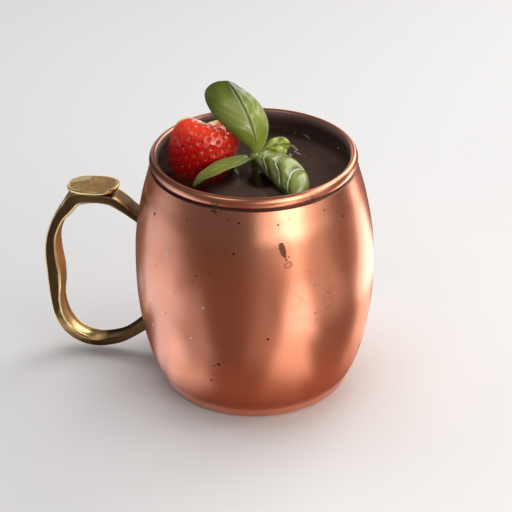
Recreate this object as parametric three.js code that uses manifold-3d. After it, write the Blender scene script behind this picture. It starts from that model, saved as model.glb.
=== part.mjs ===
// A round-bellied copper mug with a cast brass handle, filled with a mixed drink and
// garnished with half a strawberry and a sprig of basil.
// Units are millimetres and +Z is up. The origin is the centre of the mug's base.
// The handle lies along -X. The garnish is set out in the frame of someone who sees the
// handle to the left and a little behind, so its group is turned by GARNISH_TURN.

import * as THREE from "three";
import { mergeVertices } from "three/addons/utils/BufferGeometryUtils.js";
import Module from "manifold-3d";

const wasm = await Module();
wasm.setup();

// The mug: radius and height of its outer skin, from the base corner up to the neck.
const BELLY = [
  [35.8, 2.2], [39.0, 9.1], [42.1, 19.6], [44.3, 33.6], [44.9, 47.5],
  [44.35, 61.5], [42.0, 75.4], [39.7, 84.2], [38.4, 88.8],
];
const BASE_CORNER = 2.2;
const WALL = 1.0;
const FLOOR = 1.6;
const RIM_BEAD = { radius: 36.95, height: 91.6, halfWidth: 1.55, halfHeight: 2.2 };
const RIM_ANGLES = [-58, -20, 20, 60, 95, 135, 180, 220];
const NECK_INSIDE = { radius: 36.9, height: 88.4 };
const MUG_SIDES = 56;

// The handle: radius from the mug's axis, height and thickness along the strap's middle
// line, from the upper joint round to the lower one. The thick stretch halfway down is the
// swelling between two fingers.
const STRAP_LINE = [
  [40.0, 60.1, 2.8], [46.4, 63.6, 2.8], [50.8, 66.7, 3.7], [55.5, 69.0, 4.2], [62.0, 69.5, 4.7],
  [68.8, 68.1, 5.6], [72.4, 63.7, 5.2], [76.0, 58.8, 4.1], [78.9, 51.5, 4.0], [79.6, 44.3, 4.9],
  [79.1, 36.5, 5.8], [78.9, 30.0, 5.5], [78.9, 23.0, 4.1], [77.6, 16.0, 3.9], [74.4, 10.3, 3.7],
  [69.2, 6.7, 3.4], [63.0, 5.6, 3.1], [55.5, 7.3, 2.9], [49.4, 10.7, 2.9], [39.5, 19.2, 2.9],
];
// The strap's section: across its half width, then through its thickness from the outer
// face (0) to the inner face (1), which has a shallow channel down its middle.
const STRAP_SECTION = [
  [-1.0, 0.24], [-0.8, 0.04], [0.0, -0.04], [0.8, 0.04], [1.0, 0.24], [1.0, 0.8], [0.87, 1.0],
  [0.62, 0.97], [0.34, 0.8], [-0.34, 0.8], [-0.62, 0.97], [-0.87, 1.0], [-1.0, 0.8],
];
const STRAP_HALF_WIDTH = 3.9;
const STRAP_STEPS = 46;
const FOOT_FLARE = { extra: 0.9, share: 0.08 };
const SHOULDER_FLARE = { radius: 61.5, spread: 6.5, extra: 1.7, lowest: 55 };
const THUMB_REST = { radius: 62.3, top: 73.8, halfLength: 9.9, halfWidth: 7.1, thick: 1.7, slope: 3 };
const REST_EDGE = { round: 0.45, under: 1.1 };

// The drink fills the mug to this height. Touching pieces keep GAP between them.
const DRINK_LEVEL = 84.0;
const GAP = 0.3;

// The garnish stands in its own frame, turned about the mug's axis in degrees.
const GARNISH_TURN = 13;

// Half a strawberry, cut from the stalk end to the tip: radius and drop from its shoulder.
const BERRY = [
  [0, -2.4], [3.8, -1.0], [7.7, -0.2], [11.2, -1.9], [12.9, -5.6], [13.3, -10.5],
  [12.9, -16.0], [12.1, -21.5], [10.2, -27.5], [6.5, -32.5], [2.9, -35.2], [0, -36.0],
];
const BERRY_PLACE = { x: -17.0, y: 12.5, z: 101.9, lean: 11, turn: 17 };
const BERRY_SIDES = 28;
const BERRY_ROWS = 16;
const BERRY_LOBES = { slow: 0.02, fast: 0.012 };
const SEED = { length: 0.85, width: 0.6, depth: 0.5, proud: 0.3, spacing: 5.0 };
// Seeds keep this clear of the cut face, of the stalk's hollow and of the tip.
const SEED_CLEAR = { cut: 1.6, stalk: 4.0, tip: 2.5 };

// The basil: where its leaves meet, its stem below that, and its leaves.
const JOINT = [0.2, 2.9, 90.2];
const STEM = [[0.0, 3.0, 90.6], [0.7, 2.7, 84.0], [3.2, 0.6, 72.0], [6.0, -2.0, 60.0]];
const STEM_RADIUS = 1.25;
const NODE_RADIUS = 1.9;
const STALK_RADIUS = 0.65;
const STALK_REACH = 0.1;
const LEAF_THICK = 0.5;
const LEAF_ROWS = 14;
const LEAF_START = 0.03;
const LEAF_SPAN = 0.96;
const RIPPLE = { along: 17, across: 0.5, crest: 0.8 };
const LEAF_STRIPS = 4;
// Each leaf's midrib bows from base to tip. Its upper face looks along `faces`, turned
// about the midrib by `roll` degrees from base to tip. The two half blades come in pairs,
// first the left and then the right: their width, their drop at the midrib and their
// further bend to the edge in degrees, how full the outline is near base and tip, and how
// far the veins sweep towards the tip there.
const LEAVES = [
  {
    name: "upright", base: [0.3, 2.9, 89.7], bow: [2.9, 0.6, 103.1], tip: [-9.5, 10.9, 117.5],
    faces: [0.3, -1.0, 0.5], roll: [1, -21], width: [11.7, 10.4], drop: 10, bend: [22, 36],
    nearBase: [1.3, 0.96], nearTip: [0.6, 0.79], sweep: [0.72, 0.02], waves: 0.25,
  },
  {
    name: "right", base: [0.4, 2.8, 89.8], bow: [10.5, -4.5, 94.4], tip: [15.1, -22.3, 85.6],
    faces: [0.5, -0.2, 1.0], roll: [-30, -30], width: [9.6, 5.7], drop: 13, bend: [21, 50],
    nearBase: [0.48, 0.6], nearTip: [0.45, 0.61], sweep: [0, 0], waves: 0.55,
  },
  {
    name: "left", base: [-0.5, 2.3, 89.6], bow: [-16.7, -9.0, 90.6], tip: [-22.2, -11.8, 85.4],
    faces: [0.0, -0.5, 1.0], roll: [-22, -38], width: [4.4, 4.8], drop: -12, bend: [1, 1],
    nearBase: [0.8, 0.38], nearTip: [0.75, 0.75], sweep: [0, 0], waves: 0.2,
  },
  {
    name: "small", base: [1.3, 3.3, 91.0], bow: [9.8, 8.4, 93.8], tip: [13.6, 9.1, 91.3],
    faces: [0.2, -0.5, 1.0], roll: [-10, -14], width: [3.2, 4.5], drop: -1, bend: [17, 14],
    nearBase: [0.8, 0.7], nearTip: [0.5, 0.6], sweep: [0, 0], waves: 0.2,
  },
];

const radians = THREE.MathUtils.degToRad;

// Turns a list of [x, y] pairs into a smooth run of points through them.
function smoothRun(pairs, steps) {
  const curve = new THREE.SplineCurve(pairs.map(([x, y]) => new THREE.Vector2(x, y)));
  return curve.getPoints(steps);
}

// Keeps only the shared corners of a geometry and leaves out triangles without area.
function tidy(geometry) {
  const bare = geometry.index ? geometry.toNonIndexed() : geometry.clone();
  bare.deleteAttribute("normal");
  bare.deleteAttribute("uv");
  const merged = mergeVertices(bare, 1e-4);
  const corners = Array.from(merged.index.array);
  const kept = [];
  for (let i = 0; i < corners.length; i += 3) {
    const [a, b, c] = corners.slice(i, i + 3);
    if (a !== b && b !== c && c !== a) kept.push(a, b, c);
  }
  merged.setIndex(kept);
  merged.computeVertexNormals();
  return merged;
}

// Volume inside a closed geometry: below zero when its faces point inwards.
function volumeOf(geometry) {
  const p = geometry.attributes.position;
  const at = (i) => new THREE.Vector3().fromBufferAttribute(p, geometry.index.getX(i));
  let sum = 0;
  for (let i = 0; i < geometry.index.count; i += 3) {
    sum += at(i).dot(at(i + 1).cross(at(i + 2)));
  }
  return sum / 6;
}

function facingOut(geometry) {
  const closed = tidy(geometry);
  if (volumeOf(closed) > 0) return closed;
  closed.setIndex(Array.from(closed.index.array).reverse());
  closed.computeVertexNormals();
  return closed;
}

function solidOf(geometry) {
  const closed = facingOut(geometry);
  return new wasm.Manifold(new wasm.Mesh({
    numProp: 3,
    vertProperties: closed.attributes.position.array,
    triVerts: Uint32Array.from(closed.index.array),
  }));
}

function geometryOf(solid) {
  const mesh = solid.getMesh();
  const geometry = new THREE.BufferGeometry();
  geometry.setAttribute("position", new THREE.BufferAttribute(mesh.vertProperties, 3));
  geometry.setIndex(new THREE.BufferAttribute(mesh.triVerts, 1));
  return tidy(geometry);
}

// Spins a closed [radius, height] profile round the Z axis.
function turned(profile, sides) {
  const points = profile.map((p) => new THREE.Vector2(Math.max(p.x, 0), p.y));
  return new THREE.LatheGeometry(points, sides).rotateX(Math.PI / 2);
}

// Skins a row of rings, each a list of the same number of points, and caps both ends.
function skinned(rings) {
  const around = rings[0].length;
  const places = rings.flat().flatMap((p) => [p.x, p.y, p.z]);
  const corners = [];
  for (let k = 0; k + 1 < rings.length; k += 1) {
    for (let i = 0; i < around; i += 1) {
      const a = k * around + i;
      const b = k * around + ((i + 1) % around);
      corners.push(a, b, b + around, a, b + around, a + around);
    }
  }
  for (const [start, flip] of [[0, true], [(rings.length - 1) * around, false]]) {
    const flat = rings[start / around].map((p) => p.clone());
    const middle = flat.reduce((sum, p) => sum.add(p), new THREE.Vector3()).divideScalar(around);
    const hub = places.length / 3;
    places.push(middle.x, middle.y, middle.z);
    for (let i = 0; i < around; i += 1) {
      const [a, b] = [start + i, start + ((i + 1) % around)];
      corners.push(...(flip ? [hub, b, a] : [hub, a, b]));
    }
  }
  const geometry = new THREE.BufferGeometry();
  geometry.setAttribute("position", new THREE.Float32BufferAttribute(places, 3));
  geometry.setIndex(corners);
  return geometry;
}

// The outer skin's radius at a height, read off the belly's curve.
const SKIN = smoothRun(BELLY, 240);
function skinRadius(height) {
  let nearest = SKIN[0];
  for (const p of SKIN) {
    if (Math.abs(p.y - height) < Math.abs(nearest.y - height)) nearest = p;
  }
  return nearest.x;
}

function skinRun(steps, offset) {
  return smoothRun(BELLY, steps).map((p) => new THREE.Vector2(p.x + offset, p.y));
}

function makeMug() {
  const [footRadius] = BELLY[0];
  const corner = [];
  for (const share of [0, 1 / 3, 2 / 3]) {
    const turn = (share * Math.PI) / 2;
    corner.push(new THREE.Vector2(
      footRadius - BASE_CORNER * (1 - Math.sin(turn)),
      BASE_CORNER * (1 - Math.cos(turn)),
    ));
  }
  const bead = RIM_ANGLES.map((degrees) => new THREE.Vector2(
    RIM_BEAD.radius + RIM_BEAD.halfWidth * Math.cos(radians(degrees)),
    RIM_BEAD.height + RIM_BEAD.halfHeight * Math.sin(radians(degrees)),
  ));
  const lining = skinRun(10, -WALL).reverse().filter((p) => p.y < DRINK_LEVEL && p.y > FLOOR + 1);
  const profile = [
    new THREE.Vector2(0, 0),
    ...corner,
    ...skinRun(12, 0),
    ...bead,
    new THREE.Vector2(NECK_INSIDE.radius, NECK_INSIDE.height),
    ...lining,
    new THREE.Vector2(footRadius - WALL - 1.6, FLOOR),
    new THREE.Vector2(0, FLOOR),
  ];
  return facingOut(turned(profile, MUG_SIDES));
}

// The mug's whole outside as a filled shape, grown by `extra`.
function mugEnvelope(extra) {
  const { radius, height, halfWidth, halfHeight } = RIM_BEAD;
  const profile = [
    new THREE.Vector2(0, -halfHeight),
    new THREE.Vector2(BELLY[0][0] + extra, -halfHeight),
    ...skinRun(24, extra),
    new THREE.Vector2(radius + halfWidth + extra, height + 2 * halfHeight),
    new THREE.Vector2(0, height + 2 * halfHeight),
  ];
  return solidOf(turned(profile, 96));
}

// Lays the strap's section across its middle line at one place along it.
function strapRing(line, share) {
  const here = line.getPoint(share);
  const along = line.getTangent(share);
  along.z = 0;
  along.normalize();
  const inward = new THREE.Vector2(along.y, -along.x);
  const atEnd = Math.max(0, 1 - Math.min(share, 1 - share) / FOOT_FLARE.share);
  const half = STRAP_HALF_WIDTH + FOOT_FLARE.extra * atEnd;
  const away = (here.x - SHOULDER_FLARE.radius) / SHOULDER_FLARE.spread;
  const flare = here.y > SHOULDER_FLARE.lowest ? SHOULDER_FLARE.extra * Math.exp(-away * away) : 0;
  return STRAP_SECTION.map(([across, through]) => {
    const reach = (through - 0.5) * here.z;
    const radius = here.x + inward.x * reach;
    const height = here.y + inward.y * reach;
    const width = half + flare * (1 - Math.min(Math.max(through, 0), 1));
    return new THREE.Vector3(-radius, across * width, height);
  });
}

function makeStrap() {
  const points = STRAP_LINE.map(([radius, height, thick]) => new THREE.Vector3(radius, height, thick));
  const line = new THREE.CatmullRomCurve3(points, false, "centripetal");
  const rings = [];
  for (let i = 0; i <= STRAP_STEPS; i += 1) rings.push(strapRing(line, i / STRAP_STEPS));
  return solidOf(skinned(rings));
}

// The flat oval on top of the handle that the thumb presses on.
function makeThumbRest() {
  const { radius, top, halfLength, halfWidth, thick, slope } = THUMB_REST;
  const { round, under } = REST_EDGE;
  const profile = [
    [0, -thick], [halfLength - under, -thick], [halfLength - under / 4, round - thick],
    [halfLength, -thick / 2], [halfLength, -round], [halfLength - round, 0], [0, 0],
  ].map(([x, y]) => new THREE.Vector2(x, y));
  const plate = turned(profile, 40).scale(1, halfWidth / halfLength, 1);
  plate.rotateY(-radians(slope));
  plate.translate(-radius, 0, top);
  return solidOf(plate);
}

function makeHandle() {
  const casting = makeStrap().add(makeThumbRest());
  return geometryOf(casting.subtract(mugEnvelope(GAP)));
}

// A filled body of revolution for the strawberry, grown by `extra` and cut down its middle.
function berryBody(extra) {
  const outline = smoothRun(BERRY, BERRY_ROWS).map((p, i, all) => {
    const before = all[Math.max(i - 1, 0)];
    const after = all[Math.min(i + 1, all.length - 1)];
    const along = new THREE.Vector2(after.x - before.x, after.y - before.y).normalize();
    const onAxis = i === 0 || i === all.length - 1;
    const radius = onAxis ? 0 : p.x - along.y * extra;
    return new THREE.Vector2(radius, p.y + (onAxis ? Math.sign(i ? -1 : 1) * extra : along.x * extra));
  });
  const whole = turned(outline, BERRY_SIDES);
  const p = whole.attributes.position;
  for (let i = 0; i < p.count; i += 1) {
    const swell = lobes(Math.atan2(p.getY(i), p.getX(i)));
    p.setXY(i, p.getX(i) * swell, p.getY(i) * swell);
  }
  const block = 80;
  const behind = new THREE.BoxGeometry(block, block, block).translate(0, block / 2 + extra, 0);
  return solidOf(whole).subtract(solidOf(behind));
}

// A strawberry isn't quite round: a slow three-sided swell with a faster one over it.
function lobes(angle) {
  const { slow, fast } = BERRY_LOBES;
  return 1 + slow * Math.cos(3 * angle + 1) + fast * Math.cos(5 * angle - 0.6);
}

// Seeds sit about SEED.spacing apart, turned by the golden angle from one to the next.
function berrySeeds() {
  const outline = smoothRun(BERRY, 200);
  const golden = Math.PI * (3 - Math.sqrt(5));
  const seeds = [];
  let area = 0;
  let count = 0;
  for (let i = 1; i < outline.length; i += 1) {
    const [from, to] = [outline[i - 1], outline[i]];
    area += Math.PI * (from.x + to.x) * from.distanceTo(to);
    while (area > (count + 0.5) * SEED.spacing ** 2) {
      const angle = count * golden;
      count += 1;
      const radius = to.x * lobes(angle);
      const spot = new THREE.Vector3(radius * Math.cos(angle), radius * Math.sin(angle), to.y);
      const tip = BERRY[BERRY.length - 1][1];
      const open = spot.y < -SEED_CLEAR.cut && to.x > SEED_CLEAR.stalk && to.y > tip + SEED_CLEAR.tip;
      if (open) seeds.push(seedAt(spot, angle, to.clone().sub(from).normalize()));
    }
  }
  return seeds;
}

function seedAt(spot, angle, along) {
  const out = new THREE.Vector3(-along.y * Math.cos(angle), -along.y * Math.sin(angle), along.x);
  const down = new THREE.Vector3(along.x * Math.cos(angle), along.x * Math.sin(angle), along.y);
  const side = new THREE.Vector3().crossVectors(down, out);
  const bump = new THREE.SphereGeometry(1, 5, 4);
  bump.scale(SEED.width, SEED.length, SEED.depth);
  bump.applyMatrix4(new THREE.Matrix4().makeBasis(side, down.negate(), out));
  const sunk = SEED.proud - SEED.depth;
  bump.translate(spot.x + out.x * sunk, spot.y + out.y * sunk, spot.z + out.z * sunk);
  return solidOf(bump);
}

function makeBerry() {
  const fruit = berrySeeds().reduce((sum, seed) => sum.add(seed), berryBody(0));
  return geometryOf(fruit);
}

// How wide a half blade is along its midrib, as a share of its widest.
function bladeShare(along, nearBase, nearTip) {
  const widest = nearBase / (nearBase + nearTip);
  const most = widest ** nearBase * (1 - widest) ** nearTip;
  return (along ** nearBase * (1 - along) ** nearTip) / most;
}

// Spreads even steps so that they lie closer together near 0 and 1.
function closerAtEnds(share) {
  return (share + 0.5 * (1 - Math.cos(Math.PI * share))) / 2;
}

function midribOf(leaf) {
  const [base, bow, tip] = [leaf.base, leaf.bow, leaf.tip].map((p) => new THREE.Vector3(...p));
  return new THREE.QuadraticBezierCurve3(base, bow, tip);
}

// The middle surface of a leaf: rows from base to tip, each from its left to its right edge.
function bladeGrid(leaf) {
  const midrib = midribOf(leaf);
  const faces = new THREE.Vector3(...leaf.faces);
  const grid = [];
  for (let row = 0; row < LEAF_ROWS; row += 1) {
    const along = LEAF_START + LEAF_SPAN * closerAtEnds(row / (LEAF_ROWS - 1));
    const spot = midrib.getPoint(along);
    const ahead = midrib.getTangent(along);
    const up = faces.clone().addScaledVector(ahead, -faces.dot(ahead)).normalize();
    const roll = radians(THREE.MathUtils.lerp(leaf.roll[0], leaf.roll[1], along));
    up.applyAxisAngle(ahead, -roll);
    const right = new THREE.Vector3().crossVectors(ahead, up);
    const halves = [-1, 1].map((side, k) => {
      const width = leaf.width[k] * bladeShare(along, leaf.nearBase[k], leaf.nearTip[k]);
      const strip = width / LEAF_STRIPS;
      const points = [];
      const at = spot.clone();
      for (let s = 0; s < LEAF_STRIPS; s += 1) {
        const turn = radians(leaf.drop + (leaf.bend[k] * (s + 0.5)) / LEAF_STRIPS);
        at.addScaledVector(right, side * Math.cos(turn) * strip);
        at.addScaledVector(up, -Math.sin(turn) * strip);
        at.addScaledVector(ahead, leaf.sweep[k] * along * strip);
        const ripple = leaf.waves * Math.sin(((s + 1) / LEAF_STRIPS) * Math.PI * RIPPLE.crest);
        const wave = ripple * Math.sin(along * RIPPLE.along + s * RIPPLE.across);
        points.push(at.clone().addScaledVector(up, wave));
      }
      return points;
    });
    grid.push([...halves[0].reverse(), spot, ...halves[1]]);
  }
  return grid;
}

// Gives a blade its thickness: two alike faces and a rim all round.
function makeLeaf(leaf) {
  const grid = bladeGrid(leaf);
  const across = grid[0].length;
  const normalAt = (r, c) => {
    const [up, low] = [grid[Math.min(r + 1, LEAF_ROWS - 1)][c], grid[Math.max(r - 1, 0)][c]];
    const [right, left] = [grid[r][Math.min(c + 1, across - 1)], grid[r][Math.max(c - 1, 0)]];
    return up.clone().sub(low).cross(right.clone().sub(left)).normalize();
  };
  const faceAt = (shift) => grid.map((line, r) => (
    line.map((p, c) => p.clone().addScaledVector(normalAt(r, c), shift * LEAF_THICK))
  ));
  const [front, back] = [faceAt(0.5), faceAt(-0.5)];
  const rings = front.map((line, r) => [...line, ...back[r].slice().reverse()]);
  return solidOf(skinned(rings));
}

// A round green rod along a path.
function makeRod(path, radius, steps, sides) {
  const round = new THREE.Shape().absarc(0, 0, radius, 0, Math.PI * 2);
  const shape = { steps, curveSegments: sides, extrudePath: path };
  return solidOf(new THREE.ExtrudeGeometry(round, shape));
}

function makeStem(extra) {
  const path = new THREE.CatmullRomCurve3(STEM.map((p) => new THREE.Vector3(...p)));
  return makeRod(path, STEM_RADIUS + extra, 7, 5);
}

// The short stalk that carries a leaf, from the joint into the start of its blade.
function makeStalk(leaf) {
  const path = new THREE.LineCurve3(new THREE.Vector3(...JOINT), midribOf(leaf).getPoint(STALK_REACH));
  return makeRod(path, STALK_RADIUS, 1, 4);
}

function makeSprig() {
  const node = new THREE.SphereGeometry(NODE_RADIUS, 10, 7).translate(...JOINT);
  let plant = makeStem(0).add(solidOf(node));
  for (const leaf of LEAVES) plant = plant.add(makeStalk(leaf)).add(makeLeaf(leaf));
  return geometryOf(plant);
}

// Where the berry stands in the garnish frame.
function placeBerry(object) {
  object.position.set(BERRY_PLACE.x, BERRY_PLACE.y, BERRY_PLACE.z);
  object.rotation.set(0, radians(BERRY_PLACE.lean), radians(BERRY_PLACE.turn));
  return object;
}

// The drink stands a gap inside the mug and has room cut in it for the berry and the stem.
function makeDrink() {
  const side = skinRun(9, -WALL - GAP).filter((p) => p.y > FLOOR + 1.3 && p.y < DRINK_LEVEL - 2);
  const profile = [
    new THREE.Vector2(0, FLOOR + GAP),
    new THREE.Vector2(BELLY[0][0] - WALL - 2.0, FLOOR + GAP),
    ...side,
    new THREE.Vector2(skinRadius(DRINK_LEVEL) - WALL - GAP - 0.25, DRINK_LEVEL),
    new THREE.Vector2(0, DRINK_LEVEL),
  ];
  const room = new THREE.Group();
  room.rotation.z = radians(GARNISH_TURN);
  const berryRoom = new THREE.Mesh(geometryOf(berryBody(GAP + SEED.proud)));
  const stemRoom = new THREE.Mesh(geometryOf(makeStem(GAP)));
  room.add(placeBerry(berryRoom), stemRoom);
  room.updateMatrixWorld(true);
  const cuts = [berryRoom, stemRoom].map((mesh) => (
    solidOf(mesh.geometry.clone().applyMatrix4(mesh.matrixWorld))
  ));
  return geometryOf(solidOf(turned(profile, MUG_SIDES)).subtract(cuts[0]).subtract(cuts[1]));
}

// Finishes: colour, roughness and metalness.
const FINISH = {
  copper: { color: 0xb8694c, roughness: 0.3, metalness: 1 },
  brass: { color: 0x9c7433, roughness: 0.28, metalness: 1 },
  drink: { color: 0x4d382e, roughness: 0.08, metalness: 0 },
  strawberry: { color: 0xb8160f, roughness: 0.25, metalness: 0 },
  basil: { color: 0x567f2c, roughness: 0.45, metalness: 0 },
};

function piece(name, geometry, finish) {
  const mesh = new THREE.Mesh(geometry, new THREE.MeshStandardMaterial(FINISH[finish]));
  mesh.name = name;
  return mesh;
}

const garnish = new THREE.Group();
garnish.rotation.z = radians(GARNISH_TURN);
garnish.add(placeBerry(piece("strawberry_half", makeBerry(), "strawberry")));
garnish.add(piece("basil_sprig", makeSprig(), "basil"));

const cup = new THREE.Group();
cup.add(piece("mug", makeMug(), "copper"));
cup.add(piece("handle", makeHandle(), "brass"));
cup.add(piece("drink", makeDrink(), "drink"));
cup.add(garnish);

export default cup;
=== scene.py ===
# %% [markdown]
# # A copper mug of mule with strawberry and basil
# The real object is a mug spun from one sheet of copper, with its edge rolled outwards into
# a bead and a cast brass handle brazed to its side. It holds a dark mixed drink, half a
# strawberry and a sprig of basil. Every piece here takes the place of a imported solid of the
# same form, so its sizes repeat that solid's, in millimetres.

# %% Load the solids that everything is fitted to
import math

import bmesh
import bpy
import numpy as np
from mathutils import Matrix, Vector
from mathutils.bvhtree import BVHTree
from mathutils.kdtree import KDTree


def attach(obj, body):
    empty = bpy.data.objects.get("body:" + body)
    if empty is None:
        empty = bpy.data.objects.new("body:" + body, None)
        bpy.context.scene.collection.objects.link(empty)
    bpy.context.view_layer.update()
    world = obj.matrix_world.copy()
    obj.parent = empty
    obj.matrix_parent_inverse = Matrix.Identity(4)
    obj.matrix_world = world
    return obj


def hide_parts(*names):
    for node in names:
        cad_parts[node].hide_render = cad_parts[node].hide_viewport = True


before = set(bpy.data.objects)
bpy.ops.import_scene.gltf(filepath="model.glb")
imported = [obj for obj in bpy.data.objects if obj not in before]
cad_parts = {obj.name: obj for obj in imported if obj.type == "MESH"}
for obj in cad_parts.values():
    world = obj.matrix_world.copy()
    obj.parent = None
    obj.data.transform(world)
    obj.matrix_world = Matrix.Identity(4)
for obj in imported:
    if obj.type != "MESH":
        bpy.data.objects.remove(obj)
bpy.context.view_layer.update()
MM = 0.001
print("solids:", ", ".join(sorted(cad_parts)))

# %% [markdown]
# ## Camera
# The photograph's camera looks down at the mug from about 29 degrees, from far away with a
# long lens. It stands 13 degrees round from the part's -Y axis, and the garnish and the
# lights are set out from that same direction. The camera comes first, so that every piece
# can be looked at from the right place while it is made.

# %% Camera
VIEW_TURN = math.radians(13)
# Millimetres from the point above the floor that it was aimed at, and degrees.
CAMERA = {
    "distance": 800.5, "aim": 48.1,
    "rise": 29.4306, "yaw": 0.0432, "pitch": 0.0913, "roll": -0.5816,
}
LENS = 148.77


def to_part(points):
    """Turns points from the photograph's frame, where the camera is at -Y, into the part's."""
    c, s = math.cos(VIEW_TURN), math.sin(VIEW_TURN)
    p = np.asarray(points, float)
    return np.stack([p[..., 0] * c - p[..., 1] * s, p[..., 0] * s + p[..., 1] * c, p[..., 2]], -1)


def make_camera():
    """A long lens, aimed at the mug and then turned by the last small angles."""
    angles = (math.radians(CAMERA[key]) for key in ("rise", "yaw", "pitch", "roll"))
    rise, yaw, pitch, roll = angles
    away = Vector((0, -math.cos(rise), math.sin(rise))) * CAMERA["distance"]
    place = away + Vector((0, 0, CAMERA["aim"]))
    look = Vector((0, math.cos(rise - pitch), -math.sin(rise - pitch)))
    look.rotate(Matrix.Rotation(-yaw, 3, "Z"))
    right = look.cross(Vector((0, 0, 1))).normalized()
    up = right.cross(look)
    right, up = (
        right * math.cos(roll) + up * math.sin(roll),
        up * math.cos(roll) - right * math.sin(roll),
    )
    turn = Matrix.Rotation(VIEW_TURN, 4, "Z")
    stand = Matrix((right, up, -look)).transposed().to_4x4()
    stand.translation = place * MM
    data = bpy.data.cameras.new("camera")
    data.lens = LENS
    data.clip_start = 0.01
    camera = bpy.data.objects.new("camera", data)
    camera.matrix_world = turn @ stand
    bpy.context.scene.collection.objects.link(camera)
    bpy.context.scene.camera = camera
    return camera


camera = make_camera()
print("camera at", [round(v, 3) for v in camera.matrix_world.translation])

# %% [markdown]
# ## Floor and lights
# A plain pale floor and soft boxes. Polished metal shows its surroundings, so the bands on the belly come
# from where the boxes stand. The belly looks down, so most of it mirrors the floor: as round any polished
# metal, a dark card lies there, and low strips of light lie on it. Only the metal mirrors them, and the floor
# that the camera sees stays pale. The card is painted lighter at the mug's foot, a painted reflection of the
# pale floor there. One big lamp would have been simpler, but it would leave the belly one flat tone. Boxes
# and strips fade at their edges, so that the bands have soft ends.

# %% Floor
FLOOR_SIZE = 6000
FLOOR_TONE = (0.74, 0.745, 0.75)
FLOOR_ROUGHNESS = 0.55


def make_floor():
    half = FLOOR_SIZE / 2 * MM
    mesh = bpy.data.meshes.new("floor")
    corners = [(-half, -half, 0), (half, -half, 0), (half, half, 0), (-half, half, 0)]
    mesh.from_pydata(corners, [], [(0, 1, 2, 3)])
    floor = bpy.data.objects.new("floor", mesh)
    bpy.context.scene.collection.objects.link(floor)
    paint = bpy.data.materials.new("pale_floor")
    paint.use_nodes = True
    matt = paint.node_tree.nodes["Principled BSDF"]
    matt.inputs["Base Color"].default_value = (*FLOOR_TONE, 1)
    matt.inputs["Roughness"].default_value = FLOOR_ROUGHNESS
    mesh.materials.append(paint)


make_floor()
print("floor", FLOOR_SIZE, "mm across")

# %% Where the lamps stand
# Each row has the azimuth in degrees to the right of the camera, then millimetres. The
# radiance and the colour come last. The low strips light nothing, only the metal mirrors them.
UPRIGHT_BOXES = {
    # azimuth, distance, width, height, lower edge
    "key_box": (40, 420, 140, 96, 42, 2.0, (1.0, 0.98, 0.94)),
    "berry_box": (13, 420, 196, 96, 52, 1.35, (1.0, 0.97, 0.94)),
    "berry_spark": (30, 400, 34, 34, 118, 22.0, (1.0, 0.98, 0.95)),
    "key_strip": (42, 450, 210, 540, 10, 1.8, (1.0, 0.99, 0.96)),
    "key_wide": (47, 520, 820, 540, 10, 1.2, (1.0, 0.98, 0.95)),
    "back_left_box": (-162, 700, 380, 460, 120, 0.65, (1.0, 0.96, 0.88)),
    "back_low_box": (180, 700, 900, 110, 30, 1.8, (1.0, 0.97, 0.92)),
}
HANGING_BOXES = {
    # azimuth, elevation, distance, size
    "right_box": (88, 38, 650, 260, 4.0, (1.0, 0.98, 0.93)),
    "front_box": (-40, 52, 800, 300, 1.5, (1.0, 0.98, 0.96)),
    "back_right_box": (138, 34, 700, 520, 2.6, (1.0, 0.98, 0.95)),
    "top_box": (180, 80, 1000, 700, 3.4, (1.0, 1.0, 1.0)),
    "left_box": (-112, 35, 700, 420, 1.5, (0.80, 0.88, 1.0)),
}
LOW_STRIPS = {
    # azimuth and distance of the near end, the same of the far end, width
    "low_left_far": (-94, 166, -94, 900, 350, 0.85, (0.70, 0.84, 1.0)),
    "low_left": (-85, 80, -92, 190, 150, 1.15, (0.70, 0.84, 1.0)),
    "low_left_near": (-55, 42, -82, 104, 50, 1.0, (0.74, 0.86, 1.0)),
    "low_left_base": (-40, 34, -56, 66, 42, 0.75, (0.90, 0.95, 1.0)),
    "low_left_side": (-47, 50, -54, 185, 60, 0.36, (0.80, 0.90, 1.0)),
    "low_middle": (4, 56, 8, 320, 44, 0.2, (1.0, 0.99, 0.96)),
    "low_front": (33.5, 80, 36.5, 760, 64, 1.55, (1.0, 0.99, 0.96)),
    "low_front_near": (20, 46, 30, 104, 42, 1.0, (1.0, 0.97, 0.92)),
    "low_front_base": (13, 34, 18, 66, 30, 0.2, (1.0, 0.92, 0.84)),
    "low_front_side": (57, 96, 62, 760, 130, 0.34, (1.0, 0.96, 0.90)),
    "low_right": (117, 80, 121, 760, 110, 2.1, (1.0, 0.97, 0.92)),
    "low_right_near": (96, 38, 110, 104, 56, 0.9, (1.0, 0.85, 0.70)),
    "low_right_base": (66, 34, 88, 64, 26, 0.4, (1.0, 0.85, 0.70)),
}
# What the metal alone mirrors, what it doesn't mirror, and what keeps a sharp edge.
ONLY_MIRRORED = {"back_low_box"}
NEVER_MIRRORED = {"top_box", "left_box"}
SHARP_EDGED = {"berry_spark"}
# How high the hanging boxes aim, and how high the first strip lies. Lamps in one plane would
# hide each other, so each further strip lies a little above the last.
HANGING_AIM = 50
STRIP_LEVEL = 1.0
STRIP_STEP = 0.15
print("lamps:", len(UPRIGHT_BOXES) + len(HANGING_BOXES) + len(LOW_STRIPS))

# %% Soft-edged lamps
# Over what share of its size a box or a strip fades out at each side, and over how many
# millimetres a strip does at each end, so that one strip passes smoothly into the next.
SOFT_SIDE = 0.22
SOFT_END = 24


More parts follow.
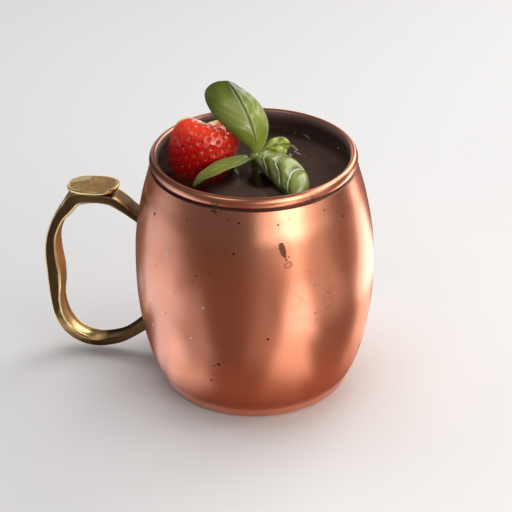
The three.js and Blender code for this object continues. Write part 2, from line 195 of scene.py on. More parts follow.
def soften(data, shares):
    """Lets a lamp fade out towards its edges, as a softbox does."""
    data.use_nodes = True
    tree = data.node_tree
    spot = tree.nodes.new("ShaderNodeNewGeometry")
    sides = tree.nodes.new("ShaderNodeSeparateXYZ")
    tree.links.new(spot.outputs["Parametric"], sides.inputs[0])
    strength = tree.nodes.new("ShaderNodeMath")
    strength.operation = "MULTIPLY"
    for k, (axis, share) in enumerate(zip("XY", shares)):
        from_edge = tree.nodes.new("ShaderNodeMath")
        from_edge.operation = "PINGPONG"
        from_edge.inputs[1].default_value = 0.5
        tree.links.new(sides.outputs[axis], from_edge.inputs[0])
        rise = tree.nodes.new("ShaderNodeMapRange")
        rise.interpolation_type = "SMOOTHSTEP"
        rise.inputs["From Max"].default_value = share
        tree.links.new(from_edge.outputs[0], rise.inputs["Value"])
        tree.links.new(rise.outputs["Result"], strength.inputs[k])
    tree.links.new(strength.outputs[0], tree.nodes["Emission"].inputs["Strength"])


def lamp(name, width, height, radiance, colour, stand):
    """A rectangular lamp whose stand says where it is and which way it faces."""
    data = bpy.data.lights.new(name, "AREA")
    data.shape = "RECTANGLE"
    data.size, data.size_y = width * MM, height * MM
    data.energy = radiance * math.pi * data.size * data.size_y
    data.color = colour
    made = bpy.data.objects.new(name, data)
    made.matrix_world = stand
    made.visible_camera = False
    bpy.context.scene.collection.objects.link(made)
    return made


# %% Standing the lamps up
def at_azimuth(azimuth, distance, height):
    """A point so many degrees to the right of the camera, as seen from above the mug."""
    turn = math.radians(azimuth)
    return Vector(to_part([math.sin(turn) * distance, -math.cos(turn) * distance, height])) * MM


def facing(place, target):
    """A stand at a place, with the lamp's face towards the target."""
    aim = (target - place).to_track_quat("-Z", "Y").to_matrix().to_4x4()
    return Matrix.Translation(place) @ aim


def light_the_stage():
    for name, (azimuth, distance, width, height, low, radiance, colour) in UPRIGHT_BOXES.items():
        place = at_azimuth(azimuth, distance, low + height / 2)
        box = lamp(name, width, height, radiance, colour, facing(place, Vector((0, 0, place.z))))
        box.visible_diffuse = name not in ONLY_MIRRORED
        if name not in SHARP_EDGED:
            soften(box.data, (SOFT_SIDE, SOFT_SIDE))
    for name, (azimuth, rise, distance, size, radiance, colour) in HANGING_BOXES.items():
        rise = math.radians(rise)
        height = HANGING_AIM + distance * math.sin(rise)
        place = at_azimuth(azimuth, distance * math.cos(rise), height)
        aim = Vector((0, 0, HANGING_AIM * MM))
        box = lamp(name, size, size, radiance, colour, facing(place, aim))
        box.visible_glossy = name not in NEVER_MIRRORED
    level = STRIP_LEVEL
    for name, (*ends, width, radiance, colour) in LOW_STRIPS.items():
        start, end = at_azimuth(*ends[:2], level), at_azimuth(*ends[2:], level)
        level += STRIP_STEP
        along = (end - start).normalized()
        down = Vector((0, 0, -1))
        stand = Matrix((along.cross(down), along, down)).transposed().to_4x4()
        stand.translation = (start + end) / 2
        strip = lamp(name, width, (end - start).length / MM, radiance, colour, stand)
        strip.visible_diffuse = strip.visible_transmission = False
        soften(strip.data, (SOFT_SIDE, SOFT_END * MM / strip.data.size_y))


light_the_stage()
print("lamps standing:", len(bpy.data.lights))

# %% The dark card
# A flat ring in millimetres. It is painted lighter at the mug's foot, a painted reflection of the pale floor
# there: its tones there and further out, and how far from the axis they meet, in metres.
DARK_CARD = {
    "inner": 37, "outer": 900, "height": 0.3, "sides": 96, "near": 0.038, "far": 0.080,
    "foot_reflection_tone": (0.38, 0.215, 0.16), "far_tone": (0.17, 0.105, 0.085),
}


def make_dark_card():
    """A flat ring round the mug that only mirror-like surfaces see."""
    sides, height = DARK_CARD["sides"], DARK_CARD["height"]
    turn = np.arange(sides) * 2 * math.pi / sides
    rings = [np.stack([r * np.cos(turn), r * np.sin(turn), np.full(sides, height)], 1) * MM
             for r in (DARK_CARD["inner"], DARK_CARD["outer"])]
    faces = [(k, (k + 1) % sides, sides + (k + 1) % sides, sides + k) for k in range(sides)]
    mesh = bpy.data.meshes.new("dark_card")
    mesh.from_pydata(np.vstack(rings).tolist(), [], faces)
    card = bpy.data.objects.new("dark_card", mesh)
    bpy.context.scene.collection.objects.link(card)
    paper = bpy.data.materials.new("dark_paper")
    paper.use_nodes = True
    tree = paper.node_tree
    matt = tree.nodes["Principled BSDF"]
    matt.inputs["Roughness"].default_value = 0.9
    matt.inputs["Specular IOR Level"].default_value = 0.0
    place = tree.nodes.new("ShaderNodeTexCoord")
    far = tree.nodes.new("ShaderNodeVectorMath")
    far.operation = "LENGTH"
    tree.links.new(place.outputs["Object"], far.inputs[0])
    share = tree.nodes.new("ShaderNodeMapRange")
    share.interpolation_type = "SMOOTHSTEP"
    tree.links.new(far.outputs["Value"], share.inputs["Value"])
    share.inputs["From Min"].default_value = DARK_CARD["near"]
    share.inputs["From Max"].default_value = DARK_CARD["far"]
    # Lighter towards the mug's foot: a painted reflection of the pale floor.
    tone = tree.nodes.new("ShaderNodeMix")
    tone.data_type = "RGBA"
    tree.links.new(share.outputs["Result"], tone.inputs[0])
    tone.inputs[6].default_value = (*DARK_CARD["foot_reflection_tone"], 1)
    tone.inputs[7].default_value = (*DARK_CARD["far_tone"], 1)
    tree.links.new(tone.outputs[2], matt.inputs["Base Color"])
    mesh.materials.append(paper)
    card.visible_camera = card.visible_diffuse = False
    card.visible_shadow = card.visible_transmission = False


make_dark_card()
print("dark card", DARK_CARD["outer"] * 2, "mm across")

# %% The room's own light
AMBIENT = (0.13, 0.112, 0.105)

world = bpy.data.worlds.new("studio")
world.use_nodes = True
world.node_tree.nodes["Background"].inputs["Color"].default_value = (*AMBIENT, 1)
bpy.context.scene.world = world
bpy.context.scene.view_settings.view_transform = "Standard"
print("room light", AMBIENT)

# %% [markdown]
# ## Helpers for shapes
# A turned shape comes from a profile, a swept one from a row of rings. Both are closed
# skins whose faces point outwards, at the origin, with their place in the mesh. Blender's
# own primitives would have to be moved and joined, and these come out in place.

# %% Smooth runs, meshes and skins
def smooth_run(points, per_span):
    """A smooth run of points through the given ones."""
    p = np.asarray(points, float)
    padded = np.vstack([p[0], p, p[-1]])
    steps = np.arange(per_span)[:, None] / per_span
    run = []
    for i in range(len(p) - 1):
        before, here, there, after = padded[i:i + 4]
        leave, arrive = (there - before) / 2, (after - here) / 2
        cubic = 2 * here - 2 * there + leave + arrive
        square = -3 * here + 3 * there - 2 * leave - arrive
        run.append(cubic * steps ** 3 + square * steps ** 2 + leave * steps + here)
    return np.vstack([*run, p[-1:]])


def mesh_object(name, points, faces, chain=False):
    """A smooth-shaded object from points in millimetres, or a chain of edges through them."""
    mesh = bpy.data.meshes.new(name)
    spots = (np.asarray(points, float) * MM).tolist()
    edges = [(i, i + 1) for i in range(len(points) - 1)] if chain else []
    mesh.from_pydata(spots, edges, [tuple(int(v) for v in face) for face in faces])
    mesh.update()
    mesh.shade_smooth()
    thing = bpy.data.objects.new(name, mesh)
    bpy.context.scene.collection.objects.link(thing)
    return thing


def face_out(thing):
    """Points every face of a closed mesh outwards."""
    work = bmesh.new()
    work.from_mesh(thing.data)
    bmesh.ops.recalc_face_normals(work, faces=work.faces)
    work.to_mesh(thing.data)
    work.free()
    return thing


def skin(name, rings):
    """A closed skin over a row of rings with the same number of points."""
    rings = np.asarray(rings, float)
    rows, around = rings.shape[:2]
    points = np.vstack([rings.reshape(-1, 3), rings[0].mean(0), rings[-1].mean(0)])
    step = np.arange(around)
    after = (step + 1) % around
    faces = []
    for row in range(rows - 1):
        a, b = row * around + step, row * around + after
        faces.append(np.stack([a, b, b + around, a + around], 1))
    faces = np.vstack(faces).tolist()
    first, last = rows * around, rows * around + 1
    end = (rows - 1) * around
    faces += [[first, int(j), int(i)] for i, j in zip(step, after)]
    faces += [[last, end + int(i), end + int(j)] for i, j in zip(step, after)]
    return face_out(mesh_object(name, points, faces))


# %% Turned shapes
SMALLEST_RADIUS = 1e-3


def lathe(name, profile, sides):
    """Turns a profile of (radius, height) that starts and ends on the axis."""
    profile = np.asarray(profile, float)
    turn = np.arange(sides) * 2 * math.pi / sides
    ring = np.stack([np.cos(turn), np.sin(turn)], 1)
    rings = [
        np.column_stack([ring * max(r, SMALLEST_RADIUS), np.full(sides, z)])
        for r, z in profile[1:-1]
    ]
    thing = skin(name, rings)
    for spot, height in ((-2, profile[0][1]), (-1, profile[-1][1])):
        thing.data.vertices[len(thing.data.vertices) + spot].co.z = height * MM
    return thing


# %% A mesh's points, and what it keeps for a finish
def made_plain(thing):
    """Makes what the modifiers show the object's own mesh, and removes them."""
    graph = bpy.context.evaluated_depsgraph_get()
    mesh = bpy.data.meshes.new_from_object(thing.evaluated_get(graph))
    thing.modifiers.clear()
    thing.data = mesh
    return thing


def places(thing):
    """The mesh's points in millimetres."""
    flat = np.empty(len(thing.data.vertices) * 3)
    thing.data.vertices.foreach_get("co", flat)
    return flat.reshape(-1, 3) / MM


def place(thing, points):
    """Puts the mesh's points where they are given, in millimetres."""
    thing.data.vertices.foreach_set("co", (np.asarray(points) * MM).ravel())
    thing.data.update()


def normals(thing):
    """The direction outwards at each point."""
    flat = np.empty(len(thing.data.vertices) * 3)
    thing.data.vertex_normals.foreach_get("vector", flat)
    return flat.reshape(-1, 3)


def store(thing, name, values):
    """Keeps a number or a vector for each point, for a finish to read."""
    values = np.asarray(values, np.float32)
    kind = "FLOAT" if values.ndim == 1 else "FLOAT_VECTOR"
    kept = thing.data.attributes.new(name, kind, "POINT")
    kept.data.foreach_set("value" if values.ndim == 1 else "vector", values.ravel())


# %% Dressing a finished piece
def dress(thing, finish, slot, *nodes):
    """Gives a finished piece its material and its body, and hides the solids it stands for. The slot is not
    used.
    """
    if finish is not None:
        thing.data.materials.clear()
        thing.data.materials.append(finish)
    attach(thing, "root")
    if nodes:
        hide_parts(*nodes)
    print(f"{thing.name}: {len(thing.data.vertices)} points")
    return thing


# %% [markdown]
# ## Helpers for finishes
# A finish is a Principled shader whose colour, roughness and bump come from a few patterns
# in the piece's own coordinates. Numbers that are the same all over are set on the shader.
# Pictures wrapped round the pieces would need an unwrapped mesh for each, and patterns by
# rule stay sharp from close by.

# %% Nodes of a finish
def plug(finish, made, sockets):
    """Sets a node's sockets to numbers and colours, or links them to other nodes' outputs."""
    for key, value in sockets.items():
        if isinstance(value, bpy.types.NodeSocket):
            finish.node_tree.links.new(value, made.inputs[key])
        else:
            made.inputs[key].default_value = value


def node(finish, kind, sockets, **settings):
    """Adds a shader node with its settings, numbers and links."""
    made = finish.node_tree.nodes.new("ShaderNode" + kind)
    for key, value in settings.items():
        setattr(made, key, value)
    plug(finish, made, sockets)
    return made


def new_finish(name, sockets):
    finish = bpy.data.materials.new(name)
    finish.use_nodes = True
    plug(finish, finish.node_tree.nodes["Principled BSDF"], sockets)
    return finish


def shader_of(finish):
    return finish.node_tree.nodes["Principled BSDF"]


# %% Patterns, colours and bumps
def object_place(finish):
    return node(finish, "TexCoord", {}).outputs["Object"]


def noise(finish, where, grain_mm, detail=3.0, rough=0.5):
    """Noise whose blotches are about grain_mm across, from 0 to 1."""
    sockets = {"Vector": where, "Scale": 1000 / grain_mm, "Detail": detail, "Roughness": rough}
    return node(finish, "TexNoise", sockets).outputs["Fac"]


def stretch(finish, where, scale):
    """Places squeezed by a scale for each axis, which draws a pattern out along the others."""
    return node(finish, "Mapping", {"Vector": where, "Scale": scale}).outputs["Vector"]


def count(finish, operation, a, b=0.0, clamp=False):
    """One sum on two numbers or patterns."""
    return node(finish, "Math", {0: a, 1: b}, operation=operation, use_clamp=clamp).outputs[0]


def fade(finish, value, low, high, out_low=0.0, out_high=1.0):
    """Maps low..high to out_low..out_high with soft ends."""
    sockets = {
        "Value": value, "From Min": low, "From Max": high, "To Min": out_low, "To Max": out_high,
    }
    return node(finish, "MapRange", sockets, interpolation_type="SMOOTHSTEP").outputs["Result"]


def blend(finish, share, a, b):
    """Colour a where share is 0 and b where it is 1."""
    return node(finish, "Mix", {0: share, 6: a, 7: b}, data_type="RGBA").outputs[2]


def rgb(r, g, b):
    return (r, g, b, 1.0)


def bump(finish, height, depth_mm, strength=1.0, normal=None):
    """Shading for a relief so many millimetres deep, over another one if given."""
    sockets = {"Height": height, "Distance": depth_mm * MM, "Strength": strength}
    if normal is not None:
        sockets["Normal"] = normal
    return node(finish, "Bump", sockets).outputs["Normal"]


def kept(finish, name, output="Fac"):
    """What a piece keeps for each point under a name."""
    return node(finish, "Attribute", {}, attribute_name=name).outputs[output]


# %% [markdown]
# ## The copper
# Old polished copper is satin rather than a mirror, with a thin lacquer over it that gives
# a sharper second gleam. It carries small dark specks, one dried splash in the shape of a
# drop with a ring below it, and a patch of fine scratches. The marks are few and each has
# its own place, so they are a short list of places on the belly, as an angle round the mug
# from the part's -Y axis and a height. Noise would scatter them anywhere. The sizes of the
# mug come first, because the marks' places need them.

# %% The mug's driving sizes
BELLY = [
    [35.8, 2.2], [39.0, 9.1], [42.1, 19.6], [44.3, 33.6], [44.9, 47.5],
    [44.35, 61.5], [42.0, 75.4], [39.7, 84.2], [38.4, 88.8],
]
BASE_CORNER = 2.2
WALL = 1.0
FLOOR_THICK = 1.6
RIM = {"radius": 36.95, "height": 91.6, "half_width": 1.55, "half_height": 2.2}
NECK_INSIDE = [36.9, 88.4]
DRINK_LEVEL = 84.0
BELLY_RUN = smooth_run(BELLY, 16)


def skin_radius(height):
    return np.interp(height, BELLY_RUN[:, 1], BELLY_RUN[:, 0])


def on_belly(angle, height, out=0.0):
    """A point on the mug's outside, in millimetres."""
    turn = math.radians(angle)
    radius = float(skin_radius(min(height, BELLY_RUN[-1, 1]))) + out
    return Vector((radius * math.sin(turn), -radius * math.cos(turn), height))


print("belly", BELLY_RUN[:, 0].max() * 2, "mm across, neck", BELLY[-1][0] * 2)

# %% The copper's marks
# Each mark has an angle, a height and a radius.
SPECKS = [
    (-48.1, 78.7, 0.63), (5.1, 85.0, 0.46), (-0.7, 85.7, 0.34), (3.0, 73.9, 0.46), (-15.7, 63.3, 0.4),
    (-17.1, 60.7, 0.25), (-9.0, 65.5, 0.28), (18.8, 40.0, 0.5), (-10.3, 18.9, 0.46), (-5.1, 27.5, 0.63),
    (-7.3, 26.4, 0.34), (-3.2, 28.4, 0.28), (-8.6, 22.2, 0.22), (5.4, 28.7, 0.31), (25.2, 83.9, 0.37),
    (64.7, 80.0, 0.5), (52.3, 85.3, 0.31), (41.9, 47.7, 0.31), (31.3, 85.5, 0.25), (61.8, 53.2, 0.28),
    (29.6, 72.0, 0.28), (-24.0, 82.6, 0.31), (120.0, 70.0, 0.43), (163.0, 55.0, 0.5), (-140.0, 38.0, 0.37),
    (-118.0, 74.0, 0.43), (95.0, 22.0, 0.37), (-160.0, 80.0, 0.5), (140.0, 30.0, 0.31), (-80.0, 25.0, 0.37),
]
SPLASH = [
    (26.2, 76.7, 0.95), (26.5, 75.7, 1.2), (26.9, 74.6, 1.15),
    (27.3, 73.5, 0.95), (27.7, 72.4, 0.65), (28.2, 71.2, 0.4),
]
SPLASH_RING = (29.1, 69.2, 1.5)
RIM_STAINS = [(-7.6, 88.2, 2.0), (-8.2, 91.3, 1.4), (46.6, 90.8, 2.0), (43.0, 89.6, 1.5)]
SCRATCHES = (52.0, 54.0, 15.0)
# Heights in metres between which the dark line under the rolled rim comes and goes: a painted shade in the
# crease.
CREASE_SHADE_HEIGHTS = {"from": (0.08865, 0.0889), "to": (0.0894, 0.0899)}
# The bead is painted darker round one place at its front left, a painted dark reflection: place, and where it
# starts and ends in millimetres.
BEAD_DARKENING_SPOT = {"at": (-38.5, -8.0, 90.5), "full": 8.0, "none": 40.0, "lowest": 0.0892}
# The stain tone darkens the real marks and also paints the shade in the crease under the rim.
COPPER_TONES = {
    "bright": rgb(0.94, 0.40, 0.25), "deep": rgb(0.90, 0.34, 0.195),
    "mottle": rgb(0.62, 0.22, 0.12), "stain_and_crease_shade": rgb(0.045, 0.016, 0.012),
    # The dark reflection tone is painted on the bead.
    "dark_reflection": rgb(0.26, 0.105, 0.075), "scratch": rgb(0.3, 0.1, 0.06),
}
print("copper marks:", len(SPECKS) + len(SPLASH) + len(RIM_STAINS) + 1)


# %% Masks for marks
def near_place(finish, where, spot, radius, soft):
    """1 inside a ball round a spot on the mug, falling to 0 at its edge."""
    far = node(finish, "VectorMath", {0: where, 1: spot * MM}, operation="DISTANCE").outputs["Value"]
    return fade(finish, far, radius * (1 - soft) * MM, radius * (1 + soft) * MM, 1.0, 0.0)


def most(finish, masks):
    """The largest of several masks."""
    total = masks[0]
    for mask in masks[1:]:
        total = count(finish, "MAXIMUM", total, mask)
    return total


def wobbled(finish, where, size_mm, by_mm):
    """Shifts places by a little noise, so that round marks get uneven edges."""
    sockets = {"Vector": where, "Scale": 1000 / size_mm, "Detail": 2.0}
    shift = node(finish, "TexNoise", sockets).outputs["Color"]
    centred = node(finish, "VectorMath", {0: shift, 1: (0.5, 0.5, 0.5)}, operation="SUBTRACT").outputs[0]
    scaled = node(finish, "VectorMath", {0: centred, "Scale": 2 * by_mm * MM}, operation="SCALE").outputs[0]
    return node(finish, "VectorMath", {0: where, 1: scaled}, operation="ADD").outputs[0]


# %% Copper finish
def copper_finish():
    """Satin copper under a thin lacquer, with its marks, its scratches, a painted shade in the crease under
    the rim and a painted dark reflection on the bead.
    """
    tones = COPPER_TONES
    finish = new_finish("copper", {
        "Metallic": 1.0, "Coat Weight": 0.35, "Coat Roughness": 0.12, "Coat IOR": 1.5,
    })
    where = object_place(finish)
    uneven = wobbled(finish, where, 2.5, 0.35)
    cloud = noise(finish, where, 32, 3.0, 0.5)
    colour = blend(finish, fade(finish, cloud, 0.3, 0.7), tones["bright"], tones["deep"])
    mottle = noise(finish, where, 6, 5.0, 0.6)
    colour = blend(finish, fade(finish, mottle, 0.5, 0.8, 0.0, 0.07), colour, tones["mottle"])

    specks = most(finish, [
        near_place(finish, uneven, on_belly(a, h), r, 0.35) for a, h, r in SPECKS
    ])
    splash = most(finish, [
        near_place(finish, uneven, on_belly(a, h), r, 0.2) for a, h, r in SPLASH
    ])
    angle, height, radius = SPLASH_RING
    outer = near_place(finish, uneven, on_belly(angle, height), radius, 0.12)
    inner = near_place(finish, uneven, on_belly(angle, height), radius * 0.72, 0.25)
    ring = count(finish, "SUBTRACT", outer, count(finish, "MULTIPLY", inner, 0.6), clamp=True)
    stains = most(finish, [
        near_place(finish, uneven, on_belly(a, h, -0.3), r, 0.5) for a, h, r in RIM_STAINS
    ])
    stains = count(finish, "MULTIPLY", stains, fade(finish, noise(finish, where, 1.6), 0.35, 0.6))
    level = node(finish, "SeparateXYZ", {"Vector": where}).outputs["Z"]
    # The dark line under the rolled rim: painted shade in the crease.
    crease_shade = count(finish, "MULTIPLY", fade(finish, level, *CREASE_SHADE_HEIGHTS["from"]),
                  fade(finish, level, *CREASE_SHADE_HEIGHTS["to"], 1.0, 0.0))
    marks = most(finish, [
        count(finish, "MULTIPLY", crease_shade, 0.93),
        specks, count(finish, "MULTIPLY", splash, 0.85), count(finish, "MULTIPLY", ring, 0.7),
        count(finish, "MULTIPLY", stains, 0.75),
    ])
    colour = blend(finish, marks, colour, tones["stain_and_crease_shade"])
    # The bead is painted darker at its front left: a painted dark reflection.
    spot = Vector(BEAD_DARKENING_SPOT["at"])
    reach = node(finish, "VectorMath", {0: where, 1: spot * MM}, operation="DISTANCE")
    dull = fade(finish, reach.outputs["Value"], BEAD_DARKENING_SPOT["full"] * MM, BEAD_DARKENING_SPOT["none"] * MM,
                0.85, 0.0)
    on_bead = fade(finish, level, BEAD_DARKENING_SPOT["lowest"], BEAD_DARKENING_SPOT["lowest"] + 0.0006)
    colour = blend(finish, count(finish, "MULTIPLY", dull, on_bead), colour, tones["dark_reflection"])

    angle, height, radius = SCRATCHES
    patch = near_place(finish, where, on_belly(angle, height), radius, 0.6)
    lines = node(finish, "TexWave", {
        "Vector": where, "Scale": 260.0, "Distortion": 26.0, "Detail": 2.0, "Detail Scale": 1.2,
    }, bands_direction="DIAGONAL").outputs["Fac"]
    lines = count(finish, "MULTIPLY", fade(finish, lines, 0.82, 0.97), patch)
    lines = count(finish, "MULTIPLY", lines, fade(finish, noise(finish, where, 4), 0.5, 0.62))
    colour = blend(finish, count(finish, "MULTIPLY", lines, 0.6), colour, tones["scratch"])

    smudge = noise(finish, where, 16, 3.0, 0.5)
    rough = fade(finish, smudge, 0.3, 0.7, 0.27, 0.33)
    rough = count(finish, "ADD", rough, count(finish, "MULTIPLY", marks, 0.25))
    grain = noise(finish, stretch(finish, where, (1.0, 1.0, 12.0)), 3, 4.0, 0.7)
    pits = count(finish, "ADD", count(finish, "MULTIPLY", marks, 1.5),
                 count(finish, "MULTIPLY", lines, 0.6))
    shaped = bump(finish, noise(finish, where, 30, 1.0), 0.12)
    shaped = bump(finish, grain, 0.0015, 1.0, shaped)
    shaped = bump(finish, pits, 0.02, 1.0, shaped)
    plug(finish, shader_of(finish), {"Base Color": colour, "Roughness": rough, "Normal": shaped})
    return finish


copper = copper_finish()
print("copper nodes:", len(copper.node_tree.nodes))


# %% [markdown]
# ## The lining
# The inside of the mug is the same sheet, left matt and gone dark brown from the drink and the
# air. It could be the copper finish with a dark layer on top, but a finish of its own, rougher
# and only partly metal, keeps the copper's marks off it.

# %% Lining finish
LINING_TONES = rgb(0.20, 0.135, 0.120), rgb(0.15, 0.100, 0.092)


def lining_finish():
    """The inside is dull and dark where the drink and the air have worked on it."""
    finish = new_finish("lining", {"Metallic": 0.35, "Specular IOR Level": 0.3})
    where = object_place(finish)
    cloud = noise(finish, where, 12, 4.0, 0.6)
    colour = blend(finish, fade(finish, cloud, 0.3, 0.7), *LINING_TONES)
    streak = noise(finish, stretch(finish, where, (1.0, 1.0, 14.0)), 5, 4.0, 0.7)
    plug(finish, shader_of(finish), {
        "Base Color": colour, "Roughness": fade(finish, streak, 0.3, 0.7, 0.45, 0.6),
        "Normal": bump(finish, streak, 0.006),
    })
    return finish


lining = lining_finish()
print("lining nodes:", len(lining.node_tree.nodes))

# %% [markdown]
# ## The mug
# A spun mug is a turned shape: one profile swung round the axis. The profile goes from the
# base with its rounded corner up the belly to the dark crease where the rolled rim closes on
# the neck, over the bead, and back down inside. Geometry Nodes turn it: the profile is swept
# round a circle, and the points that meet on the axis are merged. Each point of the profile
# also says whether it belongs to the lining, so the same tree gives both finishes.

# %% A small kit for Geometry Nodes
def new_tree(name, inputs):
    """A Geometry Nodes tree with a mesh in, a mesh out and named number inputs."""
    tree = bpy.data.node_groups.new(name, "GeometryNodeTree")
    tree.interface.new_socket("Geometry", in_out="INPUT", socket_type="NodeSocketGeometry")
    for label, kind, value in inputs:
        socket = tree.interface.new_socket(label, in_out="INPUT", socket_type="NodeSocket" + kind)
        socket.default_value = value
    tree.interface.new_socket("Geometry", in_out="OUTPUT", socket_type="NodeSocketGeometry")
    return tree, tree.nodes.new("NodeGroupInput"), tree.nodes.new("NodeGroupOutput")


def tree_node(tree, kind, sockets, **settings):
    """Adds a node to a tree with its settings, numbers and links."""
    made = tree.nodes.new(kind)
    for key, value in settings.items():
        setattr(made, key, value)
    for key, value in sockets.items():
        if isinstance(value, bpy.types.NodeSocket):
            tree.links.new(value, made.inputs[key])
        else:
            made.inputs[key].default_value = value
    return made


def read_kept(tree, name, kind):
    """What a mesh keeps for each point under a name."""
    made = tree_node(tree, "GeometryNodeInputNamedAttribute", {"Name": name}, data_type=kind)
    return made.outputs[0]


def finish_tree(tree, end, instances, finish, second=None, where=None):
    """Every tree ends by making its instances real, smooth and finished."""
    real = tree_node(tree, "GeometryNodeRealizeInstances", {"Geometry": instances})
    smooth = tree_node(tree, "GeometryNodeSetShadeSmooth", {"Geometry": real.outputs[0]})
    last = tree_node(tree, "GeometryNodeSetMaterial", {
        "Geometry": smooth.outputs[0], "Material": finish,
    })
    if second is not None:
        last = tree_node(tree, "GeometryNodeSetMaterial", {
            "Geometry": last.outputs[0], "Selection": where, "Material": second,
        })
    tree.links.new(last.outputs[0], end.inputs[0])


def grow(thing, tree, **inputs):
    """Runs a tree on an object and keeps the result as a plain mesh."""
    run = thing.modifiers.new(tree.name, "NODES")
    run.node_group = tree
    for item in tree.interface.items_tree:
        if item.item_type == "SOCKET" and item.in_out == "INPUT" and item.name in inputs:
            run[item.identifier] = inputs[item.name]
    return made_plain(thing)


# %% A tree that turns a profile
def turning_tree(outside, inside):
    """Sweeps a profile round a circle, like metal spun on a lathe."""
    tree, start, end = new_tree("spun_metal", [
        ("Sides", "Int", 288), ("Circle", "Float", 0.04), ("Merge", "Float", 0.000002),
    ])
    circle = tree_node(tree, "GeometryNodeCurvePrimitiveCircle", {
        "Resolution": start.outputs["Sides"], "Radius": start.outputs["Circle"],
    })
    upright = tree_node(tree, "GeometryNodeSetCurveNormal", {"Curve": circle.outputs[0]}, mode="Z_UP")
    profile = tree_node(tree, "GeometryNodeMeshToCurve", {"Mesh": start.outputs["Geometry"]})
    swept = tree_node(tree, "GeometryNodeCurveToMesh", {
        "Curve": upright.outputs[0], "Profile Curve": profile.outputs[0],
    })
    closed = tree_node(tree, "GeometryNodeMergeByDistance", {
        "Geometry": swept.outputs[0], "Distance": start.outputs["Merge"],
    })
    lined = tree_node(tree, "FunctionNodeCompare", {0: read_kept(tree, "lined", "FLOAT"), 1: 0.5})
    finish_tree(tree, end, closed.outputs[0], outside, inside, lined.outputs[0])
    return tree


# %% [markdown]
# ### The profile
# The profile is a list of sizes that can be read off the photograph: the foot, nine points up
# the belly, the neck and the bead. A smooth run goes through the belly's points, so moving one
# of them changes the whole curve there, as it would on the spinner's form.

# %% The mug's profile
MUG_SIDES = 288
TURNING_CIRCLE = 40.0
CREASE = {"depth": 0.75, "height": 0.35}
# The bead turns from one angle to another in so many steps, and is lined from a third.
BEAD_TURN = (-66, 215, 40)
LINED_FROM = 128


def mug_profile():
    """Rows of radius, height and whether the lining covers it, from the axis to the axis."""
    foot = BELLY[0][0]
    corner = [
        [foot - BASE_CORNER * (1 - math.sin(turn)), BASE_CORNER * (1 - math.cos(turn))]
        for turn in np.linspace(0, math.pi / 2, 9)[:-1]
    ]
    bottom = [[0, 0.5], [foot - 8.5, 0.5], [foot - 7.5, 0.35], [foot - 6.2, 0.05], [foot - 5.6, 0.0]]
    neck = BELLY_RUN[-1]
    crease = [
        [neck[0] - CREASE["depth"] * 0.5, neck[1] + 0.1],
        [neck[0] - CREASE["depth"], neck[1] + CREASE["height"]],
    ]
    angles = np.linspace(*BEAD_TURN)
    bead = [
        [RIM["radius"] + RIM["half_width"] * math.cos(turn),
         RIM["height"] + RIM["half_height"] * math.sin(turn)]
        for turn in np.radians(angles)
    ]
    lowest, highest = FLOOR_THICK + 1.5, DRINK_LEVEL + 2.5
    inside = [[r - WALL, z] for r, z in BELLY_RUN[::-1] if lowest < z < highest]
    floor_edge = [
        [foot - WALL - 1.6, FLOOR_THICK + 0.25], [foot - WALL - 3, FLOOR_THICK], [0, FLOOR_THICK],
    ]
    outside = bottom + corner + BELLY_RUN.tolist() + crease
    lining_run = [NECK_INSIDE] + inside + floor_edge
    on_bead = (angles > LINED_FROM).astype(float).tolist()
    lined = [0.0] * len(outside) + on_bead + [1.0] * len(lining_run)
    return np.column_stack([np.array(outside + bead + lining_run), lined])


def make_mug():
    """Lays the profile down as a chain on the turning circle and turns it."""
    radius, height, lined = mug_profile().T
    points = np.stack([radius - TURNING_CIRCLE, -height, np.zeros(len(radius))], 1)
    mug = mesh_object("mug_shell", points, [], chain=True)
    store(mug, "lined", lined)
    grow(mug, turning_tree(copper, lining), Sides=MUG_SIDES, Circle=TURNING_CIRCLE * MM)
    return dress(face_out(mug), None, "copper", "mug")


make_mug()

# %% [markdown]
# ## The handle
# The handle is one casting: a strap bent into a D, thicker between two fingers, with a shallow channel down
# its inner face and a flat oval for the thumb on top. The strap is a row of rings along its middle line, so
# each point knows where it lies on the section. The finish can then be bright on the edges and in the
# channel, partly wear and partly a painted highlight, and dark on the flanks. A remesh would have blunted the
# filed edges that catch the light.

# %% The handle's sizes
# The strap's middle line: distance from the axis, height and thickness.
STRAP_LINE = [
    [40.0, 60.1, 2.8], [46.4, 63.6, 2.8], [50.8, 66.7, 3.7], [55.5, 69.0, 4.2], [62.0, 69.5, 4.7],
    [68.8, 68.1, 5.6], [72.4, 63.7, 5.2], [76.0, 58.8, 4.1], [78.9, 51.5, 4.0], [79.6, 44.3, 4.9],
    [79.1, 36.5, 5.8], [78.9, 30.0, 5.5], [78.9, 23.0, 4.1], [77.6, 16.0, 3.9], [74.4, 10.3, 3.7],
    [69.2, 6.7, 3.4], [63.0, 5.6, 3.1], [55.5, 7.3, 2.9], [49.4, 10.7, 2.9], [39.5, 19.2, 2.9],
]
